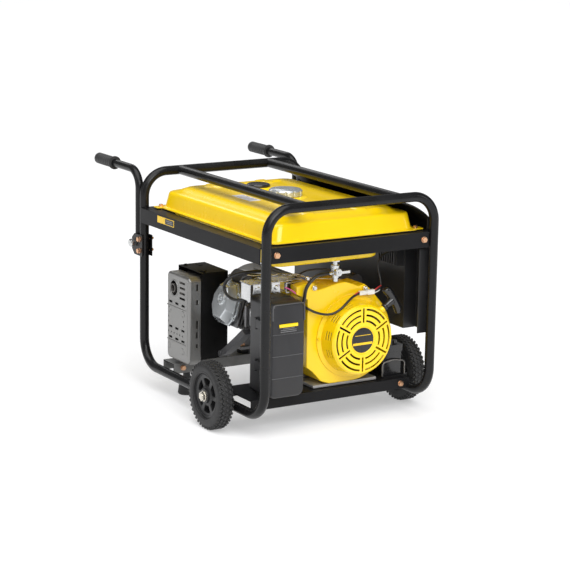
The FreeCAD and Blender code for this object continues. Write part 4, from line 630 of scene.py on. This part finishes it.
tray = Shape()
tray.box((-226, -205, 383), (-72, -152, 385))
tray.box((-226, -205, 341), (-224, -160, 383))
tray.box((-217, -205, 358), (-190, -203, 383))
tray.box((-162, -205, 357), (-138, -203, 383))
tray.box((-120, -205, 376), (-72, -202, 379.5))
tray.box((-120, -205, 352), (-72, -202, 355))
tray.box((-120, -205, 355), (-116.5, -202, 376))
tray.box((-75.5, -205, 355), (-72, -202, 376))
tray.finish("control_bracket", bright_steel, "frame", "zinc", bevel=0.7)
boot = Shape()
boot.box((-115, -201, 356), (-77, -186, 375))
boot.finish("control_box", gloss_plastic, "frame", "lead_black", bevel=1.5)
studs = Shape()
for x, z in ((-204, 372), (-150, 370), (-57, 384)):
    studs.hex_bolt((x, -205, z), -Y_AXIS, 9, 5)
studs.finish("control_bolts", bright_steel, "frame", "zinc", bevel=0.3)
for name, points, thick in (
    ("governor_rod",
     [(-128, -178, 392), (-80, -180, 390), (-40, -186, 380), (10, -200, 376), (46, -206, 372)], 1.3),
    ("throttle_rod", [(-214, -170, 402), (-190, -168, 396), (-160, -166, 398), (-128, -160, 392)], 1.3),
    ("choke_rod", [(-163, -112, 338), (-160, -140, 360), (-150, -160, 388), (-120, -170, 396)], 1.2),
    ("bracket_rod", [(-110, -190, 386), (-96, -190, 394), (-70, -188, 394), (-52, -186, 384)], 1.5),
):
    smooth_line(name, points, thick, bright_steel, "frame")
coil_spring("governor_spring", (-128, -176, 396), (-62, -182, 388), 4.0, 0.7, 12, bright_steel)
coil_spring("throttle_spring", (-196, -176, 392), (-150, -178, 390), 3.4, 0.7, 9, bright_steel)
smooth_line("pink_wire", [(-134, -222, 372), (-124, -228, 368), (-110, -228, 358), (-98, -224, 350)],
            1.7, pink_wire, "frame")
smooth_line("stop_wire", [(-98, -224, 350), (-84, -216, 345), (-74, -200, 340), (-66, -170, 334)],
            1.6, red_wire, "frame")
smooth_line("switch_wire", [(-100, -182, 372), (-60, -176, 396), (-10, -170, 398), (40, -172, 392),
                            (90, -180, 372)],
            2.4, hose_rubber, "frame")

# --------------------------------------------------------------- exhaust guard

GUARD_FACE = -240.0
beads = Shape()
for z, y_low, y_high in ((252.7, 101, 209), (158.0, 104, 208)):
    beads.rod((GUARD_FACE + 0.4, y_low, z), (GUARD_FACE + 0.4, y_high, z), 1.7)
beads.rod((GUARD_FACE + 1.4, 98, 128), (GUARD_FACE + 1.4, 98, 334), 2.8, 1.4)
beads.lathe([(20.2, -1.6), (20.2, 0.9), (21.2, 1.6), (23, 1.2), (24, -1.0), (23, -1.6), (20.2, -1.6)],
            (GUARD_FACE, 171, 304), -X_AXIS, 64, open_ends=True)
beads.finish("guard_beads", guard_metal, "frame", "guard_silver", bevel=0)
for number, (y, z) in enumerate(((197, 240), (122, 240), (199, 140), (122, 138))):
    curl = [
        (GUARD_FACE + 0.3, y + 8 * math.cos(math.radians(turn)), z + 8 * math.sin(math.radians(turn)))
        for turn in range(60, 301, 40)
    ]
    smooth_line(f"guard_curl_{number}", curl, 1.5, guard_metal, "frame")
shield_marks = Shape()
shield_marks.box((-196, 108, 355.6), (-176, 118, 357))
shield_marks.box((-160, 176, 355.6), (-150, 200, 357))
for y in (98, 198):
    shield_marks.hex_bolt((-190, y, 356), Z_AXIS, 8, 4)
shield_marks.finish("shield_marks", heat_black, "frame", "shield_black", bevel=0.5)

# ----------------------------------------------------------------- valve cover

# The cylinder leans 15 degrees up from level, along -X. The cover stands on the CAD cylinder's
# axis but is larger than the CAD's cover, to come nearer the outline it has in the photo.
LEAN = math.radians(15.0)
OUTWARD = Vector((-math.cos(LEAN), 0, math.sin(LEAN)))
UPWARD = Vector((math.sin(LEAN), 0, math.cos(LEAN)))
CYLINDER_Y = 20.0


def on_cylinder(along, across, up):
    """Point set by its distances from the crank, measured along the leaned cylinder."""
    return Vector((CRANK_X, CYLINDER_Y + across, CRANK_Z)) + OUTWARD * along + UPWARD * up


# Width of the ring's flat top, as a share of its whole width.
SHOULDER_SHARE = 0.52


def cover_ring(along, half_across, half_up, straight):
    """Loop of eight corners, with long slanted sides, square to the cylinder's axis."""
    shoulder = half_across * SHOULDER_SHARE
    corners = [
        (half_across, straight), (shoulder, half_up), (-shoulder, half_up), (-half_across, straight),
        (-half_across, -straight), (-shoulder, -half_up), (shoulder, -half_up),
        (half_across, -straight),
    ]
    return [on_cylinder(along, across, up) for across, up in corners]


dome = Shape()
dome.loft([
    cover_ring(227.5, 55, 57, 24), cover_ring(232.5, 55, 57, 24), cover_ring(233.5, 51.5, 53.5, 22),
    cover_ring(239, 51, 53, 21.5), cover_ring(257, 38, 42, 15), cover_ring(258.5, 35, 39, 13.5),
])
dome.lathe([(19, 0), (18.4, 2.6), (16, 3.6), (10, 3.8), (9, 2.4), (0, 2.2)], on_cylinder(258, -4, 10),
           OUTWARD, 48)
dome.lathe([(5.5, 0), (5.0, 3.4), (0, 4.4)], on_cylinder(259.6, -4, 10), OUTWARD, 24)
for across in (-46, 46):
    for up in (-34, 34):
        dome.hex_bolt(on_cylinder(232.5, across, up), OUTWARD, 9, 5)
dome.rod(on_cylinder(243, 0, 46), on_cylinder(243, 0, 66), 6.5)
valve_dome = dome.finish("valve_dome", polished_cover, "frame", "cover_silver", bevel=1.6, segments=3,
                         crease=14)
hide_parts("valve_cover")
# The breather hose and the spark plug's lead are only in the looks.
smooth_line(
    "breather_hose",
    [(-118, -120, 394), (-160, -98, 392), (-184, -60, 380), (-194, -32, 362), (-197, -20, 342),
     (-197, -30, 324), (-194, -58, 314), (-188, -84, 316), (-170, -112, 324), (-150, -128, 334)],
    4.2, hose_rubber, "frame",
)
smooth_line(
    "plug_lead",
    [(-150, -70, 330), (-176, -74, 352), (-184, -92, 378), (-178, -126, 392), (-140, -150, 388)],
    3.6, hose_rubber, "frame",
)

# --------------------------------------------------------------- recoil T-grip

PULL_ANGLE = math.radians(34.0)
PULL = Vector((math.cos(PULL_ANGLE), 0, math.sin(PULL_ANGLE)))
PULL_ACROSS = Vector((-math.sin(PULL_ANGLE), 0, math.cos(PULL_ANGLE)))
PULL_FROM = Vector((139.0, -262.0, 295.0))
GRIP_SIDES = 28
tee = Shape()
tee_rings = []
for across, droop, half_deep, half_thick in (
    (-41.5, 4.6, 4.5, 4.0), (-40.5, 4.4, 8.0, 7.2), (-37.5, 3.6, 10.8, 9.6), (-32, 2.2, 11.8, 10.4),
    (-20, 0.6, 11.0, 10.2), (-8, 0, 10.6, 10.0), (8, 0, 10.6, 10.0), (20, 0.6, 11.0, 10.2),
    (32, 2.2, 11.8, 10.4), (37.5, 3.6, 10.8, 9.6), (40.5, 4.4, 8.0, 7.2), (41.5, 4.6, 4.5, 4.0),
):
    middle = PULL_FROM + PULL * (40 - droop) + PULL_ACROSS * across
    tee_rings.append([
        middle + PULL * (half_deep * math.cos(turn)) + Y_AXIS * (half_thick * math.sin(turn))
        for turn in (2 * math.pi * i / GRIP_SIDES for i in range(GRIP_SIDES))
    ])
tee.loft(tee_rings)
tee.lathe([(0, 4), (8.4, 4), (9.6, 5.4), (10.0, 9.5), (8.4, 10.6), (7.8, 14), (8.8, 20), (10.6, 28),
           (11.0, 36), (0, 40)], PULL_FROM, PULL, 36)
tee.rod(PULL_FROM - PULL * 58, PULL_FROM + PULL * 10, 2.5)
pull_tee = tee.finish("pull_tee", gloss_plastic, "recoil_grip", "grip_black", bevel=0)
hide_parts("recoil_grip")

brace = Shape()
brace.loft([
    [Vector((x, y + dy, z + dz)) for x, dy, dz in
     ((-168, -9, -4), (-144, -9, -4), (-144, 9, 5), (-168, 9, 5))]
    for y, z in ((-74, 226), (-40, 200), (-4, 174), (30, 150), (48, 142))
])
brace.rod((-172, 44, 143), (-140, 44, 143), 9, 1.2)
brace.finish("cylinder_brace", cast_dark, "frame", "cast_grey", bevel=1.4)

foot = Shape()
foot.box((-46, -226, 95.4), (150, -150, 103.4))
foot.finish("engine_foot", cast_bright, "frame", "engine_grey", bevel=1.2)

# ------------------------------------------------------------------------ tyres

TYRE_PROFILE = [
    (57.2, -15), (58.5, -19), (64, -20.7), (72, -20.9), (79, -19.4), (82.6, -16.5),
    (84.9, -10), (85.5, 0), (84.9, 10), (82.6, 16.5), (79, 19.4), (72, 20.9), (64, 20.7),
    (58.5, 19), (57.2, 15), (57.2, -15),
]
WHEEL_X, WHEEL_Y, WHEEL_Z = 295.0, -132.0, 89.0
KNOBS_ROUND = 42


def tread_knob(shape, wheel_x, across, turn, half_across, half_along, low, high):
    """One raised lozenge of the tread."""
    rings = []
    for radius, scale in ((low, 1.0), (high - 0.7, 0.86), (high, 0.7)):
        ring = []
        for side, along in ((1, 0), (0, 1), (-1, 0), (0, -1)):
            angle = turn + along * half_along * scale / high
            ring.append((
                wheel_x + across + side * half_across * scale,
                WHEEL_Y + radius * math.cos(angle),
                WHEEL_Z + radius * math.sin(angle),
            ))
        rings.append(ring)
    shape.loft(rings)


for side_name, side in (("left", -1), ("right", 1)):
    tyre = Shape()
    wheel_x = side * WHEEL_X
    tyre.lathe(TYRE_PROFILE, (wheel_x, WHEEL_Y, WHEEL_Z), X_AXIS, 96, open_ends=True)
    for number in range(KNOBS_ROUND):
        turn = 2 * math.pi * number / KNOBS_ROUND
        half_step = math.pi / KNOBS_ROUND
        for across, shift in ((-10.5, 0), (0, half_step), (10.5, 0)):
            tread_knob(tyre, wheel_x, across, turn + shift, 5.6, 6.4, 83.0, 88.8)
        for across in (-16.8, 16.8):
            tread_knob(tyre, wheel_x, across, turn + half_step, 3.4, 5.6, 79.5, 86.6)
    body_name = f"wheel_{side_name}"
    knobby = tyre.finish(f"knobby_tyre_{side_name}", tyre_rubber, body_name, "tyre_black", bevel=0)
    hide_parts(f"wheel_{side_name}_tyre")
    bead = Shape()
    for offset in (-21.0, 21.0):
        bead.lathe([(60, -0.6), (61.5, 0.5), (63.5, 0.5), (65, -0.6)],
                   (wheel_x + offset - math.copysign(0.4, offset), WHEEL_Y, WHEEL_Z),
                   (math.copysign(1, offset), 0, 0), 72, open_ends=True)
    bead.finish(f"tyre_bead_{side_name}", tyre_rubber, body_name, "tyre_black", bevel=0)
    face = Shape()
    outward = X_AXIS * side
    hub_centre = (wheel_x, WHEEL_Y, WHEEL_Z)
    face.lathe([(45, -1.2), (45, 11.8), (46, 12.8), (50, 13.4), (54, 15.6), (56, 15.8), (56, 13.5),
                (51, 10), (48, -1.2), (45, -1.2)], hub_centre, outward, 72, open_ends=True)
    face.lathe([(27, -1.2), (27, 12.2), (25.8, 13.4), (19.2, 15.2), (19.2, -1.2), (27, -1.2)],
               hub_centre, outward, 60, open_ends=True)
    for number in range(6):
        turn = math.pi / 3 * number
        radial = Y_AXIS * math.sin(turn + math.pi / 6) + Z_AXIS * math.cos(turn + math.pi / 6)
        sideways = radial.cross(outward)
        face.loft([
            [Vector(hub_centre) + radial * reach + sideways * width + outward * along
             for width, along in ((-half, -1.2), (-half, top - 1.2), (1.4 - half, top),
                                  (half - 1.4, top), (half, top - 1.2), (half, -1.2))]
            for reach, half, top in ((21, 6.4, 13.0), (30, 5.8, 12.6), (40, 6.2, 12.6), (49, 8.5, 12.8))
        ])
    face.finish(f"rim_face_{side_name}", rim_plastic, body_name, "rim_black", bevel=0)

# -------------------------------------------------------------------- rail label

RAIL_FACE = -266.2
tag = Shape()
tag.box((RAIL_FACE - 0.5, 124, 477.5), (RAIL_FACE + 0.5, 217, 495.5))
tag.finish("rail_label_edge", label_yellow, "frame", "tank_yellow", bevel=0.2)
tag = Shape()
tag.box((RAIL_FACE - 0.8, 126, 479.3), (RAIL_FACE + 0.5, 173, 493.7))
tag.finish("rail_label_panel", label_black, "frame", "frame_black", bevel=0.2)
tag = Shape()
for z, y_low, y_high in ((489, 134, 166), (484.5, 134, 160)):
    tag.box((RAIL_FACE - 1.0, y_low, z - 0.9), (RAIL_FACE, y_high, z + 0.9))
tag.finish("rail_label_bands", label_grey, "frame", "frame_black", bevel=0)

# ------------------------------------------------------------------ panel trim

PANEL_FACE = 266.5
METER_PIVOT_Z = 376
NEEDLE_TURN = math.radians(112)
for number, y in enumerate((-60, 20)):
    dial = Shape()
    dial.box((PANEL_FACE + 3.2, y - 21, 371), (PANEL_FACE + 4.4, y + 21, 413))
    dial.finish(f"meter_dial_{number}", dial_white, "frame", "fittings_black", bevel=0.3)
    ticks = Shape()
    for step in range(11):
        turn = math.radians(45 + 9 * step)
        way = Vector((0, math.cos(turn), math.sin(turn)))
        centre = Vector((PANEL_FACE + 4.3, y, METER_PIVOT_Z))
        across = Vector((0, -way.z, way.y)) * 0.35
        low, high = centre + way * 26, centre + way * (32 if step % 5 == 0 else 29.5)
        ticks.prism([low - across, low + across, high + across, high - across], (0.35, 0, 0))
    needle_way = Vector((0, math.cos(NEEDLE_TURN), math.sin(NEEDLE_TURN)))
    across = Vector((0, -needle_way.z, needle_way.y)) * 0.5
    base = Vector((PANEL_FACE + 4.5, y, METER_PIVOT_Z))
    ticks.prism([base - across, base + across, base + needle_way * 27], (0.4, 0, 0))
    ticks.lathe([(0, 0), (3.2, 0), (3.2, 1.0), (2.6, 1.4), (0, 1.4)], base, X_AXIS, 24)
    ticks.finish(f"meter_marks_{number}", label_black, "frame", "fittings_black", bevel=0)

# ---------------------------------------------------------------------- stage

# The camera was solved from the frame's straight edges. Its focal length is in the same unit as
# the picture's width.
SENSOR_WIDTH = 36.0
PICTURE_WIDTH = 570.0
FOCAL_LENGTH = 1934.7
CAMERA_PLACE = at(-2640.8, -4284.7, 1437.5)
camera_data = bpy.data.cameras.new("camera")
camera = bpy.data.objects.new("camera", camera_data)
bpy.context.scene.collection.objects.link(camera)
camera_data.sensor_width = SENSOR_WIDTH
camera_data.lens = SENSOR_WIDTH * FOCAL_LENGTH / PICTURE_WIDTH
camera_data.clip_end = 100.0
CAMERA_RIGHT = Vector((0.85274086, -0.5220994, 0.01566041))
CAMERA_UP = Vector((0.10008628, 0.19274923, 0.97613036))
CAMERA_BACK = -Vector((0.51265561, 0.83081884, -0.21662013))
turned = Matrix((CAMERA_RIGHT, CAMERA_UP, CAMERA_BACK)).transposed()
camera.matrix_world = Matrix.Translation(CAMERA_PLACE) @ turned.to_4x4()
bpy.context.scene.camera = camera

FLOOR_HALF = 40.0
floor_data = bpy.data.meshes.new("floor")
floor_data.from_pydata(
    [(-FLOOR_HALF, -FLOOR_HALF, 0), (FLOOR_HALF, -FLOOR_HALF, 0),
     (FLOOR_HALF, FLOOR_HALF, 0), (-FLOOR_HALF, FLOOR_HALF, 0)],
    [], [(0, 1, 2, 3)],
)
floor = bpy.data.objects.new("floor", floor_data)
bpy.context.scene.collection.objects.link(floor)
floor_finish = surface("floor_finish", (0.60, 0.60, 0.605), 0.7, variation=0.01, patch=1.0,
                       grain=60.0, bump=0.0, specular=0.1, glow=0.40)
floor_data.materials.append(floor_finish)

world = bpy.data.worlds.new("studio")
bpy.context.scene.world = world
world.use_nodes = True
sky = world.node_tree.nodes["Background"]
sky.inputs["Color"].default_value = (1.0, 1.0, 1.0, 1.0)
sky.inputs["Strength"].default_value = 0.18
bpy.context.scene.view_settings.view_transform = "Standard"

sun_data = bpy.data.lights.new("overhead", "SUN")
sun_data.energy = 3.0
sun_data.angle = math.radians(70.0)
sun = bpy.data.objects.new("overhead", sun_data)
bpy.context.scene.collection.objects.link(sun)
sun.rotation_euler = (math.radians(18.0), math.radians(-14.0), 0.0)


def studio_light(name, place, target, size, power):
    """Rectangular light at a place, in metres, that faces its target."""
    data = bpy.data.lights.new(name, "AREA")
    data.shape = "RECTANGLE"
    data.size, data.size_y = size
    data.energy = power
    lamp = bpy.data.objects.new(name, data)
    bpy.context.scene.collection.objects.link(lamp)
    lamp.location = place
    way = Vector(target) - Vector(place)
    lamp.rotation_mode = "QUATERNION"
    lamp.rotation_quaternion = way.to_track_quat("-Z", "Y")


studio_light("key_light", (-0.6, -3.0, 1.9), (0.0, -0.2, 0.3), (1.8, 1.2), 44)
studio_light("side_light", (-3.0, 0.6, 1.6), (0.0, 0.0, 0.3), (0.4, 1.6), 7)
studio_light("right_light", (2.6, -2.4, 1.4), (0.0, 0.0, 0.3), (0.5, 1.8), 8)
studio_light("back_light", (0.8, 3.2, 2.4), (0.0, 0.0, 0.3), (2.2, 0.9), 10)
